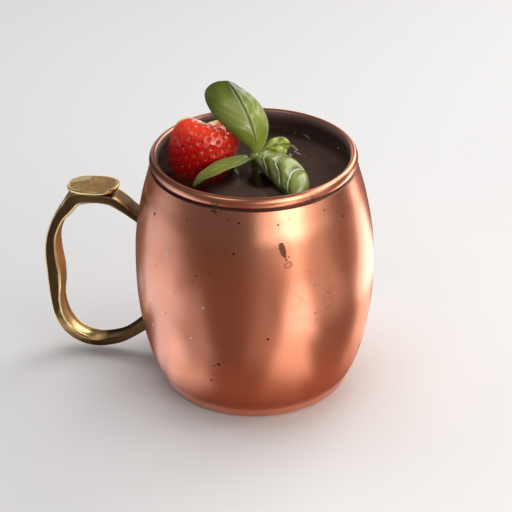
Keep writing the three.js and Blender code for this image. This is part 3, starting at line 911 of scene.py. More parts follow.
# Half the section: across, through the thickness from the outer face, and how bright it is, partly wear and
# partly a painted highlight on the edges and in the channel.
STRAP_SECTION = [
    [0.00, -0.04, 0.45], [0.45, -0.035, 0.45], [0.80, -0.015, 0.6], [0.90, 0.0, 0.9], [0.94, 0.02, 1.0],
    [0.975, 0.055, 1.0], [0.995, 0.09, 0.6], [1.00, 0.14, 0.05], [1.00, 0.45, 0.0], [1.00, 0.73, 0.0],
    [0.995, 0.79, 0.35], [0.965, 0.88, 1.0], [0.91, 0.955, 1.0], [0.84, 0.995, 1.0], [0.77, 0.985, 0.95],
    [0.70, 0.94, 0.8], [0.58, 0.87, 0.8], [0.40, 0.81, 0.8], [0.20, 0.785, 0.75], [0.00, 0.78, 0.75],
]
STRAP_HALF_WIDTH = 3.9
FOOT_FLARE = {"extra": 1.3, "share": 0.07}
SHOULDER_FLARE = {"radius": 61.5, "spread": 6.5, "extra": 1.7, "lowest": 55}
THUMB_REST = {
    "radius": 62.3, "top": 73.8, "half_length": 9.9, "half_width": 7.1, "thick": 1.7,
    "edge": 0.45, "slope": 3, "squareness": 2.5,
}
# How far the handle's feet reach into the mug's wall.
INTO_COPPER = 0.45
print("strap", len(STRAP_LINE), "places along,", len(STRAP_SECTION), "across half the section")


# %% The strap
def strap_section():
    """The whole section, from its half and the half's mirror image."""
    half = np.array(STRAP_SECTION)
    other = half[-2:0:-1] * [-1, 1, 1]
    return np.vstack([half, other])


def make_strap():
    """Rings of the section along the strap's line, and for each point its wear and painted highlight."""
    line = smooth_run(STRAP_LINE, 12)
    along = np.gradient(line[:, :2], axis=0)
    along /= np.linalg.norm(along, axis=1, keepdims=True)
    inward = np.stack([along[:, 1], -along[:, 0]], 1)
    section = strap_section()
    share = np.linspace(0, 1, len(line))
    rings = []
    for (radius, height, thick), n, t in zip(line, inward, share):
        end = max(0.0, 1 - min(t, 1 - t) / FOOT_FLARE["share"])
        half = STRAP_HALF_WIDTH + FOOT_FLARE["extra"] * end ** 2
        off = (radius - SHOULDER_FLARE["radius"]) / SHOULDER_FLARE["spread"]
        high = height > SHOULDER_FLARE["lowest"]
        flare = SHOULDER_FLARE["extra"] * math.exp(-off * off) if high else 0.0
        reach = (section[:, 1] - 0.5) * (thick + 1.6 * end ** 2)
        wide = half + flare * (1 - np.clip(section[:, 1], 0, 1))
        x, y, z = -(radius + n[0] * reach), section[:, 0] * wide, height + n[1] * reach
        rings.append(np.stack([x, y, z], 1))
    strap = skin("strap", rings)
    wear_and_highlight = np.concatenate([np.tile(section[:, 2], len(rings)), [0.0, 0.0]])
    return strap, wear_and_highlight


# %% The thumb rest
def make_thumb_rest():
    """A turned plate, pressed into a rounded oval and leant a little."""
    rest = THUMB_REST
    long, thick, soft = rest["half_length"], rest["thick"], rest["edge"]
    edge = [
        [long - soft + soft * math.cos(a), -soft + soft * math.sin(a)]
        for a in np.linspace(0, math.pi / 2, 6)
    ]
    under = [
        [0, -thick - 0.8], [long - 2.2, -thick - 0.6],
        [long - 0.9, -thick + 0.05], [long - 0.12, -thick * 0.7],
    ]
    profile = under + edge + [[long - 1.5, 0.0], [long - 4.0, 0.05], [0, 0.1]]
    plate = lathe("thumb_rest", profile, 120)
    p = places(plate)
    at_edge = np.hypot(p[:, 0], p[:, 1]) > long - 1.0
    wear_and_highlight = np.where(p[:, 2] < -thick * 0.75, 0.1, np.where(at_edge, 1.0, 0.5))
    turn = np.arctan2(p[:, 1], p[:, 0])
    power = rest["squareness"]
    square = (np.abs(np.cos(turn)) ** power + np.abs(np.sin(turn)) ** power) ** (-1 / power)
    p[:, :2] *= square[:, None]
    p[:, 1] *= rest["half_width"] / long
    lean = math.radians(rest["slope"])
    turned = np.stack([p[:, 0] * math.cos(lean) - p[:, 2] * math.sin(lean), p[:, 1],
                       p[:, 0] * math.sin(lean) + p[:, 2] * math.cos(lean)], 1)
    place(plate, turned + [-rest["radius"], 0, rest["top"]])
    return plate, wear_and_highlight


# %% Joining, melting and averaging
def join(things, name):
    """Joins several objects' meshes into the first."""
    work = bmesh.new()
    for thing in things:
        work.from_mesh(thing.data)
    work.to_mesh(things[0].data)
    work.free()
    for thing in things[1:]:
        bpy.data.objects.remove(thing)
    things[0].name = name
    return things[0]


def remesh(thing, voxel_mm, smoothing):
    """Melts overlapping closed shapes into one and rounds it a little."""
    solid = thing.modifiers.new("melt", "REMESH")
    solid.mode = "VOXEL"
    solid.voxel_size = voxel_mm * MM
    solid.use_smooth_shade = True
    soft = thing.modifiers.new("soften", "SMOOTH")
    soft.factor = 0.5
    soft.iterations = smoothing
    return made_plain(thing)


def neighbour_mean(thing, values, rounds):
    """Averages a number for each point with its neighbours', several times over."""
    edges = np.empty(len(thing.data.edges) * 2, np.int64)
    thing.data.edges.foreach_get("vertices", edges)
    a, b = edges.reshape(-1, 2).T
    number = np.bincount(np.concatenate([a, b]), minlength=len(values)).astype(float)
    for _ in range(rounds):
        columns = [
            np.bincount(a, weights=v[b], minlength=len(v))
            + np.bincount(b, weights=v[a], minlength=len(v))
            for v in values.reshape(len(values), -1).T
        ]
        mean = np.stack(columns, 1) / number[:, None]
        values = mean.reshape(values.shape)
    return values


# %% The handle
def make_handle():
    """Joins strap and thumb rest, and keeps the feet from reaching through the mug's wall."""
    (strap, strap_wear_and_highlight), (plate, plate_wear_and_highlight) = make_strap(), make_thumb_rest()
    handle = join([strap, plate], "cast_handle")
    handle.data.shade_smooth()
    p = places(handle)
    radial = np.hypot(p[:, 0], p[:, 1])
    least = skin_radius(np.clip(p[:, 2], 2.2, 88)) - INTO_COPPER
    push = np.maximum(least / np.maximum(radial, 1e-6), 1.0)
    place(handle, p * np.stack([push, push, np.ones(len(push))], 1))
    store(handle, "wear_and_highlight", np.concatenate([strap_wear_and_highlight, plate_wear_and_highlight]))
    return handle


handle = make_handle()
handle_points = places(handle)
print("handle spans", np.round(handle_points.min(0), 1), np.round(handle_points.max(0), 1))


# %% [markdown]
# ### The brass
# Cast brass goes olive brown where it is left alone and stays gold where hands rub it; the gold on the edges
# and in the channel is also a painted highlight. The strap keeps for each point how worn and bright it is,
# from its place on the section, and a few places are brighter or duller than that. These are the bend,
# brighter as a painted highlight, the arms near the mug, and the thumb rest's pale corner, a painted
# highlight. A pattern by height or by noise alone couldn't follow the filed edges.

# %% Brass finish
# Places where the casting is brighter or duller: place, radius, softness and change. The first, at the bend,
# is a painted highlight.
BRASS_TONE_PLACES = [
    ((-72.5, 0.0, 9.0), 11.0, 0.35, 0.35),
    ((-45.0, 0.0, 64.0), 10.0, 0.4, -0.5), ((-62.0, 0.0, 68.0), 9.0, 0.5, -0.08),
]
# The low arm is dull where it nears the mug, in metres along X and up Z.
LOW_ARM = {"dull_from": (-0.0680, -0.0560), "up_to": (0.026, 0.034), "dulling": 0.8}
# The pale corner, a painted highlight, lies beyond a line across the thumb rest, in metres.
CORNER_HIGHLIGHT = {"slope": 0.568, "offset": 0.0402, "until": -0.0649}
BRASS_TONES = {
    "flank": (rgb(0.075, 0.038, 0.015), rgb(0.120, 0.064, 0.024)),
    "gold": (rgb(0.42, 0.245, 0.075), rgb(0.90, 0.67, 0.32)),
    "face": (rgb(0.56, 0.35, 0.13), rgb(0.36, 0.20, 0.065)),
    # The corner tone is a painted highlight.
    "corner": rgb(0.98, 0.82, 0.50), "speck": rgb(0.10, 0.06, 0.025),
}


def brass_finish():
    """Cast brass: bright on the edges, worn and with a painted highlight, olive brown on the flanks."""
    tones = BRASS_TONES
    finish = new_finish("brass", {"Metallic": 1.0})
    where = object_place(finish)
    spread = node(finish, "SeparateXYZ", {"Vector": wobbled(finish, where, 4, 0.8)})
    along, across, height = (spread.outputs[axis] for axis in "XYZ")
    patchy = fade(finish, noise(finish, where, 5, 4.0), 0.3, 0.7, -0.14, 0.14)
    # The gold share: wear, and a painted highlight on the edges, in the channel and at the bend.
    wear_and_highlight_share = count(finish, "ADD", kept(finish, "wear_and_highlight"), patchy)
    for spot, radius, soft, change in BRASS_TONE_PLACES:
        here = near_place(finish, where, Vector(spot), radius, soft)
        wear_and_highlight_share = count(finish, "ADD", wear_and_highlight_share, count(finish, "MULTIPLY", here, change))
    low = count(finish, "MULTIPLY", fade(finish, along, *LOW_ARM["dull_from"]),
                fade(finish, height, *LOW_ARM["up_to"], 1.0, 0.0))
    wear_and_highlight_share = count(finish, "SUBTRACT", wear_and_highlight_share, count(finish, "MULTIPLY", low, LOW_ARM["dulling"]))
    cloud = noise(finish, where, 9, 4.0, 0.6)
    flank = blend(finish, cloud, *tones["flank"])
    gold = blend(finish, fade(finish, wear_and_highlight_share, 0.3, 0.8), *tones["gold"])
    colour = blend(finish, fade(finish, wear_and_highlight_share, 0.10, 0.45), flank, gold)

    # The thumb rest: a scuffed face with one pale corner, a painted highlight.
    top = fade(finish, height, 0.0725, 0.0730)
    scuffs = noise(finish, stretch(finish, where, (1.0, 2.2, 1.0)), 1.6, 4.0, 0.7)
    face = blend(finish, fade(finish, scuffs, 0.4, 0.65), *tones["face"])
    line = count(finish, "MULTIPLY", along, CORNER_HIGHLIGHT["slope"])
    line = count(finish, "ADD", line, CORNER_HIGHLIGHT["offset"])
    beyond = fade(finish, count(finish, "SUBTRACT", across, line), -0.0003, 0.0004)
    until = CORNER_HIGHLIGHT["until"]
    corner = count(finish, "MULTIPLY", beyond, fade(finish, along, until, until + 0.0006, 1.0, 0.0))
    face = blend(finish, corner, face, tones["corner"])
    inside = fade(finish, kept(finish, "wear_and_highlight"), 0.55, 0.9, 1.0, 0.0)
    colour = blend(finish, count(finish, "MULTIPLY", top, inside), colour, face)

    speck = fade(finish, noise(finish, where, 0.8, 3.0, 0.7), 0.62, 0.74, 0.0, 0.5)
    colour = blend(finish, speck, colour, tones["speck"])
    shaped = bump(finish, noise(finish, where, 7, 1.0), 0.08)
    shaped = bump(finish, noise(finish, where, 1.1, 3.0, 0.6), 0.010, 1.0, shaped)
    rough = fade(finish, wear_and_highlight_share, 0.1, 0.9, 0.42, 0.22)
    rough = count(finish, "ADD", rough, count(finish, "MULTIPLY", corner, 0.2))
    plug(finish, shader_of(finish), {"Base Color": colour, "Roughness": rough, "Normal": shaped})
    return finish


dress(handle, brass_finish(), "brass", "handle")

# %% [markdown]
# ## The strawberry
# Half a strawberry, cut from the stalk end to the tip, with its round side to the front.
# The skin has a dimple round each seed, and the seeds are real little grains in them. The
# body is the same turned shape as the solid, cut and remeshed into even small faces, so
# that the dimples can be pressed in along the normals. The seeds repeat, so Geometry Nodes
# place them. Sculpting by hand would do it too, but these sizes can be changed later.

# %% The strawberry's driving sizes
BERRY = [
    [0, -2.4], [3.8, -1.0], [7.7, -0.2], [11.2, -1.9], [12.9, -5.6], [13.3, -10.5],
    [12.9, -16.0], [12.1, -21.5], [10.2, -27.5], [6.5, -32.5], [2.9, -35.2], [0, -36.0],
]
BERRY_PLACE = {"at": (-17.0, 12.5, 101.9), "lean": 11, "turn": 17}
BERRY_LOBES = {"slow": 0.02, "fast": 0.012}
BERRY_VOXEL = 0.27
SEED_SPACING = 3.35
SEED_CLEAR = {"cut": 1.2, "stalk": 4.0, "tip": 1.5}
DIMPLE = {"radius": 0.72, "depth": 0.38, "lip": 0.08}


def berry_to_part(points):
    """From the berry's own frame, shoulder up, into the part's."""
    turn, lean = math.radians(BERRY_PLACE["turn"]), math.radians(BERRY_PLACE["lean"])
    x, y, z = np.asarray(points, float).T
    x, y = x * math.cos(turn) - y * math.sin(turn), x * math.sin(turn) + y * math.cos(turn)
    x, z = x * math.cos(lean) + z * math.sin(lean), z * math.cos(lean) - x * math.sin(lean)
    return to_part(np.stack([x, y, z], 1) + BERRY_PLACE["at"])


def lobes(angle):
    """How much the turned outline swells or shrinks round the berry."""
    return 1 + BERRY_LOBES["slow"] * np.cos(3 * angle + 1) + BERRY_LOBES["fast"] * np.cos(5 * angle - 0.6)


print("berry", -BERRY[-1][1], "mm long,", 2 * max(row[0] for row in BERRY), "mm across")


# %% Where the seeds sit
def seed_places():
    """Seeds about a spacing apart, each turned by the golden angle from the one before."""
    outline = smooth_run(BERRY, 18)
    golden = math.pi * (3 - math.sqrt(5))
    spots, outward, downward = [], [], []
    area, number = 0.0, 0
    for before, here in zip(outline[:-1], outline[1:]):
        area += math.pi * (before[0] + here[0]) * np.linalg.norm(here - before)
        while area > (number + 0.5) * SEED_SPACING ** 2:
            angle = number * golden
            number += 1
            radius = here[0] * lobes(angle)
            spot = np.array([radius * math.cos(angle), radius * math.sin(angle), here[1]])
            tip = BERRY[-1][1]
            off_skin = spot[1] > -SEED_CLEAR["cut"] or here[0] < SEED_CLEAR["stalk"]
            if off_skin or here[1] < tip + SEED_CLEAR["tip"]:
                continue
            ahead = (here - before) / np.linalg.norm(here - before)
            spots.append(spot)
            outward.append([-ahead[1] * math.cos(angle), -ahead[1] * math.sin(angle), ahead[0]])
            downward.append([ahead[0] * math.cos(angle), ahead[0] * math.sin(angle), ahead[1]])
    return np.array(spots), np.array(outward), np.array(downward)


seeds, seeds_out, seeds_down = seed_places()
print("seeds on the berry:", len(seeds))


# %% [markdown]
# ### The body
# The outline is turned, given slow lobes and cut in half. The seeds' places are worked out
# first, because both the dimples and the grains need them.

# %% The strawberry's body
def berry_body():
    """Turns the outline, gives it its lobes, and cuts it in half."""
    body = lathe("strawberry_flesh", smooth_run(BERRY, 10), 160)
    p = places(body)
    swell = lobes(np.arctan2(p[:, 1], p[:, 0]))
    place(body, p * np.stack([swell, swell, np.ones(len(swell))], 1))
    work = bmesh.new()
    work.from_mesh(body.data)
    every = work.verts[:] + work.edges[:] + work.faces[:]
    plane = {"plane_co": (0, 0, 0), "plane_no": (0, 1, 0)}
    bmesh.ops.bisect_plane(work, geom=every, clear_outer=True, **plane)
    bmesh.ops.holes_fill(work, edges=[e for e in work.edges if e.is_boundary])
    bmesh.ops.triangulate(work, faces=work.faces)
    work.to_mesh(body.data)
    work.free()
    return remesh(body, BERRY_VOXEL, 4)


# %% Dimples
def press_dimples(body):
    """Presses a dimple with a low lip round each seed."""
    p, out = places(body), normals(body)
    tree = KDTree(len(seeds))
    for i, spot in enumerate(seeds):
        tree.insert(Vector(spot), i)
    tree.balance()
    far = np.array([tree.find(Vector(v))[2] for v in p])
    skin_side = np.clip((-0.4 - p[:, 1]) / 0.6, 0, 1)
    radius = DIMPLE["radius"]
    dip = np.exp(-(far / radius) ** 2)
    lip = np.exp(-((far - 2.0 * radius) / (0.7 * radius)) ** 2)
    lift = skin_side * (DIMPLE["lip"] * lip - DIMPLE["depth"] * dip)
    place(body, p + out * lift[:, None])
    store(body, "fruit", p)
    store(body, "dimple", dip * skin_side)
    cut = (p[:, 1] > -0.35).astype(float)
    store(body, "cut", neighbour_mean(body, cut, 1))
    return body


berry = press_dimples(berry_body())
place(berry, berry_to_part(places(berry)))


# %% [markdown]
# ### The strawberry's finish
# The skin is deep red at the tip, brighter towards the stalk and nearly white round it, under
# a wet gleam. The cut face shows a pale core, a red rim and fine fibres. One finish does both,
# and reads from the body which of its points lie on the cut.

# %% Strawberry finish
BERRY_TONES = {
    "tip": rgb(0.52, 0.003, 0.007), "side": rgb(0.78, 0.010, 0.008),
    "shoulder": rgb(0.87, 0.050, 0.012), "patch": rgb(0.84, 0.024, 0.010),
    # The dimple tone is painted shade in the dimples round the seeds.
    "dimple": rgb(0.36, 0.003, 0.004), "pale": rgb(0.80, 0.56, 0.24),
    "core": rgb(0.88, 0.52, 0.36), "flesh": rgb(0.80, 0.16, 0.10),
    "rim": rgb(0.66, 0.03, 0.025), "fibre": rgb(0.90, 0.45, 0.34),
}
STALK_END = (0.0, 0.0, -0.6)


def strawberry_finish():
    """Wet red skin outside with painted shade in its dimples, a pale core and red rim on the cut. Sizes are
    in millimetres.
    """
    tones = BERRY_TONES
    finish = new_finish("strawberry", {
        "Roughness": 0.30, "IOR": 1.36, "Specular IOR Level": 0.35,
        "Coat Weight": 1.0, "Coat Roughness": 0.045,
        "Subsurface Weight": 0.28, "Subsurface Radius": (1.0, 0.22, 0.12),
        "Subsurface Scale": 0.0022,
    })
    fruit = kept(finish, "fruit", "Vector")
    parts = node(finish, "SeparateXYZ", {"Vector": fruit})
    across, height = parts.outputs["X"], parts.outputs["Z"]
    cloud = noise(finish, fruit, 7000, 3.0, 0.6)
    ripe = fade(finish, height, -26.0, -3.0)
    red = blend(finish, ripe, tones["tip"], tones["side"])
    red = blend(finish, fade(finish, height, -6.5, -0.8), red, tones["shoulder"])
    red = blend(finish, fade(finish, cloud, 0.45, 0.75, 0.0, 0.5), red, tones["patch"])
    # Darker red in the dimples: painted shade.
    sunk = fade(finish, kept(finish, "dimple"), 0.25, 0.9, 0.0, 0.35)
    red = blend(finish, sunk, red, tones["dimple"])
    distance = node(finish, "VectorMath", {0: fruit, 1: STALK_END}, operation="DISTANCE")
    wobble = noise(finish, fruit, 3500, 2.0)
    rim = count(finish, "ADD", distance.outputs["Value"], count(finish, "MULTIPLY", wobble, 2.5))
    pale = fade(finish, rim, 4.6, 6.8, 0.95, 0.0)
    behind = count(finish, "ADD", parts.outputs["Y"], count(finish, "MULTIPLY", wobble, 0.8))
    edge = count(finish, "MULTIPLY", fade(finish, behind, -1.3, -0.3),
                 fade(finish, height, -7.0, -3.0))
    pale = count(finish, "MAXIMUM", pale, edge)
    skin_colour = blend(finish, pale, red, tones["pale"])

    wide = count(finish, "ABSOLUTE", across)
    wider = count(finish, "MULTIPLY", fade(finish, height, -30.0, -4.0), -2.6)
    core = count(finish, "ADD", wide, wider)
    core = count(finish, "ADD", core, count(finish, "MULTIPLY", wobble, 1.2))
    fibres = node(finish, "TexNoise", {
        "Vector": stretch(finish, fruit, (0.35, 1.0, 1.6)), "Scale": 0.9, "Detail": 4.0,
    }).outputs["Fac"]
    flesh = blend(finish, fade(finish, core, 0.6, 3.4), tones["core"], tones["flesh"])
    flesh = blend(finish, fade(finish, core, 5.0, 10.5), flesh, tones["rim"])
    flesh = blend(finish, fade(finish, fibres, 0.52, 0.7, 0.0, 0.5), flesh, tones["fibre"])
    colour = blend(finish, fade(finish, kept(finish, "cut"), 0.3, 0.7), skin_colour, flesh)
    fine = noise(finish, fruit, 900, 3.0, 0.6)
    plug(finish, shader_of(finish), {"Base Color": colour, "Normal": bump(finish, fine, 0.03)})
    return finish


dress(berry, strawberry_finish(), "strawberry", "strawberry_half")


# %% [markdown]
# ### The seeds
# A strawberry's seeds stand about a spacing apart, each pointing down to the tip. One grain is
# put on every place that the body's dimples were pressed at, turned by the two directions that
# the place keeps. Grains by hand would be over a hundred, and a texture would be flat.

# %% Seeds by Geometry Nodes
SEED_TONES = rgb(0.78, 0.31, 0.10), rgb(0.62, 0.14, 0.05)
SEED_SIZE = {"Length": 0.00041, "Width": 0.00024, "Depth": 0.00027}


def seed_tree(finish):
    """One grain on each point, its thickness along `outward` and its length along `downward`."""
    tree, start, end = new_tree("seeds", [
        (label, "Float", size) for label, size in SEED_SIZE.items()
    ])
    ball = tree_node(tree, "GeometryNodeMeshUVSphere", {"Segments": 12, "Rings": 8, "Radius": 1.0})
    size = tree_node(tree, "ShaderNodeCombineXYZ", {
        0: start.outputs["Width"], 1: start.outputs["Length"], 2: start.outputs["Depth"],
    })
    shaped = tree_node(tree, "GeometryNodeTransform", {
        "Geometry": ball.outputs[0], "Scale": size.outputs[0],
    })
    outwards = tree_node(tree, "FunctionNodeAlignRotationToVector", {
        "Vector": read_kept(tree, "outward", "FLOAT_VECTOR"),
    }, axis="Z")
    turned = tree_node(tree, "FunctionNodeAlignRotationToVector", {
        "Rotation": outwards.outputs[0], "Vector": read_kept(tree, "downward", "FLOAT_VECTOR"),
    }, axis="Y", pivot_axis="Z")
    vary = tree_node(tree, "FunctionNodeRandomValue", {2: 0.85, 3: 1.2, "Seed": 4}, data_type="FLOAT")
    grains = tree_node(tree, "GeometryNodeInstanceOnPoints", {
        "Points": start.outputs["Geometry"], "Instance": shaped.outputs[0],
        "Rotation": turned.outputs[0], "Scale": vary.outputs[1],
    })
    finish_tree(tree, end, grains.outputs[0], finish)
    return tree


# %% The seeds themselves
# How far a seed stands proud of its dimple's floor.
SEED_PROUD = 0.15


def make_seeds():
    """Puts the grains in the dimples of the berry."""
    finish = new_finish("seed", {"Roughness": 0.3, "Coat Weight": 1.0, "Coat Roughness": 0.08})
    tone = fade(finish, noise(finish, object_place(finish), 5, 2.0), 0.35, 0.65)
    plug(finish, shader_of(finish), {"Base Color": blend(finish, tone, *SEED_TONES)})
    sunk = seeds - seeds_out * (DIMPLE["depth"] - SEED_PROUD)
    grains = mesh_object("strawberry_seeds", berry_to_part(sunk), [])
    origin = berry_to_part(np.zeros((1, 3)))
    store(grains, "outward", berry_to_part(seeds_out) - origin)
    store(grains, "downward", berry_to_part(seeds_down) - origin)
    grow(grains, seed_tree(finish), **SEED_SIZE)
    return dress(grains, finish, "strawberry", "strawberry_half")


make_seeds()

# %% [markdown]
# ## The basil
# Four leaves meet at one joint over the drink. A basil leaf is two half blades that fall away from the
# midrib, and the blade puffs up between its side veins. Each leaf is laid out on a grid along its midrib with
# the same named sizes as its solid. Its veins are lines drawn on that grid, by a rule or listed point by
# point, and both the blade's height and its colour follow how far each point lies from the nearest vein. Near
# the veins the colour is a painted shade of the furrows. Solidify gives the blade thickness.

# %% The basil's driving sizes
JOINT = [0.2, 2.9, 90.2]
STEM = [[0.0, 3.0, 90.6], [0.7, 2.7, 84.0], [3.2, 0.6, 72.0], [6.0, -2.0, 60.0]]
STEM_RADIUS = 1.25
NODE_RADIUS = 1.9
LEAF_THICK = 0.42
LEAF_ROWS = 140
HALF_STRIPS = 36
LEAF_START, LEAF_SPAN, LEAF_END = 0.03, 0.965, 0.97
LEAF_TOP = 117.4
RIPPLE = {"along": 17, "across": 0.5, "crest": 0.8, "strips": 4}
# Veins drawn as points across (-1 to 1) and along (0 to 1) the blade.
HANGING_VEINS = [
    [[-0.95, 0.18], [-0.60, 0.16], [-0.12, 0.17], [0.25, 0.22], [0.48, 0.31], [0.90, 0.44]],
    [[-0.95, 0.40], [-0.62, 0.36], [-0.32, 0.37], [0.06, 0.45], [0.28, 0.60], [0.78, 0.75]],
    [[-0.97, 0.61], [-0.68, 0.59], [-0.32, 0.65], [-0.05, 0.75], [0.58, 0.89]],
]
LEAVES = {
    "upright": {
        "base": [0.3, 2.9, 89.7], "bow": [2.9, 0.6, 103.1], "tip": [-9.5, 10.9, 117.5],
        "faces": [0.3, -1.0, 0.5], "roll": [1, -21], "width": [11.7, 10.4], "drop": 10, "bend": [22, 36],
        "near_base": [1.3, 0.96], "near_tip": [0.6, 0.79], "sweep": [0.72, 0.02], "waves": 0.25,
        "veins": 7, "lean": 0.34, "bulge": 0.14, "reach": 1.6, "groove": 0.5, "crease": 0.45,
    },
    "right": {
        "base": [0.4, 2.8, 89.8], "bow": [10.5, -4.5, 94.4], "tip": [15.1, -22.3, 85.6],
        "faces": [0.5, -0.2, 1.0], "roll": [-30, -30], "width": [9.6, 5.7], "drop": 13, "bend": [21, 50],
        "near_base": [0.48, 0.6], "near_tip": [0.45, 0.61], "sweep": [0, 0], "waves": 0.55,
        "lines": HANGING_VEINS, "bulge": 0.95, "reach": 1.5, "groove": 0.0, "crease": 0.4,
    },
    "left": {
        "base": [-0.5, 2.3, 89.6], "bow": [-16.7, -9.0, 90.6], "tip": [-22.2, -11.8, 85.4],
        "faces": [0.0, -0.5, 1.0], "roll": [-22, -38], "width": [4.4, 4.8], "drop": -12, "bend": [1, 1],
        "near_base": [0.8, 0.38], "near_tip": [0.75, 0.75], "sweep": [0, 0], "waves": 0.2,
        "veins": 6, "lean": 0.30, "bulge": 0.14, "reach": 1.2, "groove": 0.5, "crease": 0.4,
    },
    "small": {
        "base": [1.3, 3.3, 91.0], "bow": [9.8, 8.4, 93.8], "tip": [13.6, 9.1, 91.3],
        "faces": [0.2, -0.5, 1.0], "roll": [-10, -14], "width": [3.2, 4.5], "drop": -1, "bend": [17, 14],
        "near_base": [0.8, 0.7], "near_tip": [0.5, 0.6], "sweep": [0, 0], "waves": 0.2,
        "veins": 2, "lean": 0.4, "bulge": 0.5, "reach": 1.2, "groove": 0.55, "crease": 0.5,
    },
}


print("leaves:", ", ".join(LEAVES))


# %% The midrib and the blade's width
def unit(v):
    return v / np.linalg.norm(v, axis=-1, keepdims=True)


def blade_share(along, near_base, near_tip):
    """How wide a half blade is along its midrib, as a share of its widest."""
    widest = near_base / (near_base + near_tip)
    most_wide = widest ** near_base * (1 - widest) ** near_tip
    return along ** near_base * (1 - along) ** near_tip / most_wide


def midrib(leaf, along):
    """Places and directions along a bow from the joint to the tip."""
    base, bow, tip = (np.array(leaf[key]) for key in ("base", "bow", "tip"))
    t = along[:, None]
    spots = (1 - t) ** 2 * base + 2 * t * (1 - t) * bow + t ** 2 * tip
    ahead = unit(2 * (1 - t) * (bow - base) + 2 * t * (tip - bow))
    return spots, ahead


# %% Laying out a blade
def blade_grid(leaf):
    """Rows of points over a leaf from its left edge to its right, with its own coordinates."""
    even = np.linspace(0, 1, LEAF_ROWS)
    along = LEAF_START + LEAF_SPAN * (even + 0.5 * (1 - np.cos(math.pi * even))) / 2
    spots, ahead = midrib(leaf, along)
    faces = np.array(leaf["faces"], float)
    up = unit(faces - (ahead @ faces)[:, None] * ahead)
    roll = -np.radians(leaf["roll"][0] + (leaf["roll"][1] - leaf["roll"][0]) * along)[:, None]
    up = up * np.cos(roll) + np.cross(ahead, up) * np.sin(roll)
    right = np.cross(ahead, up)
    halves, shares = [], []
    for side, k in ((-1, 0), (1, 1)):
        share = blade_share(along, leaf["near_base"][k], leaf["near_tip"][k])
        strip = leaf["width"][k] * share / HALF_STRIPS
        at = spots.copy()
        for s in range(HALF_STRIPS):
            across = (s + 1) / HALF_STRIPS
            turn = math.radians(leaf["drop"] + leaf["bend"][k] * (s + 0.5) / HALF_STRIPS)
            step = side * math.cos(turn) * right - math.sin(turn) * up
            step = step + (leaf["sweep"][k] * along)[:, None] * ahead
            at = at + step * strip[:, None]
            coarse = across * RIPPLE["strips"] - 1
            wave = leaf["waves"] * math.sin(across * math.pi * RIPPLE["crest"])
            wave = wave * np.sin(along * RIPPLE["along"] + coarse * RIPPLE["across"])
            halves.append(at + up * wave[:, None])
            shares.append(side * across)
    order = list(range(HALF_STRIPS - 1, -1, -1))
    rows = [halves[i] for i in order] + [spots] + halves[HALF_STRIPS:]
    across = [shares[i] for i in order] + [0.0] + shares[HALF_STRIPS:]
    grid = np.stack(rows, 1)
    u, v = np.meshgrid(across, along)
    return grid, u, v, up


# %% The side veins
def vein_lines(leaf):
    """The side veins as rows of points across and along: drawn ones, or pairs by a rule."""
    if "lines" in leaf:
        return [smooth_run(line, 12) for line in leaf["lines"]]
    out = np.linspace(0.03, 0.95, 24)
    lines = []
    for side, shift in ((-1, 0.0), (1, 0.5)):
        for k in range(leaf["veins"]):
            start = (k + shift) / leaf["veins"] * 0.9
            lines.append(np.column_stack([side * out, start + leaf["lean"] * out ** 1.4]))
    return [line[(line[:, 1] > LEAF_START) & (line[:, 1] < LEAF_END)] for line in lines]


def vein_reach(grid, u, v, lines):
    """How many millimetres each point of the grid lies from the nearest vein."""
    rows, columns = u.shape
    tree = KDTree(sum(len(line) for line in lines))
    number = 0
    for line in lines:
        row = np.interp(line[:, 1], v[:, 0], np.arange(rows)).clip(0, rows - 1.001)
        column = ((line[:, 0] + 1) / 2 * (columns - 1)).clip(0, columns - 1.001)
        i, j = row.astype(int), column.astype(int)
        f, g = (row - i)[:, None], (column - j)[:, None]
        spots = (1 - f) * (1 - g) * grid[i, j] + f * (1 - g) * grid[i + 1, j]
        spots += (1 - f) * g * grid[i, j + 1] + f * g * grid[i + 1, j + 1]
        for spot in spots:
            tree.insert(Vector(spot), number)
            number += 1
    tree.balance()
    return np.array([tree.find(Vector(p))[2] for p in grid.reshape(-1, 3)]).reshape(rows, columns)


# %% The blade's relief and thickness
def relief(leaf, u, v, reach):
    """How far the blade stands up: it puffs up between veins and dips along the midrib."""
    ends = np.clip(v / 0.12, 0, 1) * np.clip((1 - v) / 0.12, 0, 1)
    puff = leaf["bulge"] * (1 - np.exp(-(reach / leaf["reach"]) ** 2)) * (1 - np.abs(u) ** 6)
    side = np.abs(u) * leaf["width"][0]
    rib = leaf["groove"] * np.exp(-(side / leaf["crease"]) ** 2)
    if leaf["groove"] > 0:
        puff = puff * np.clip(side / 0.8, 0, 1)
    return ends * puff - np.clip(v / 0.15, 0, 1) * rib


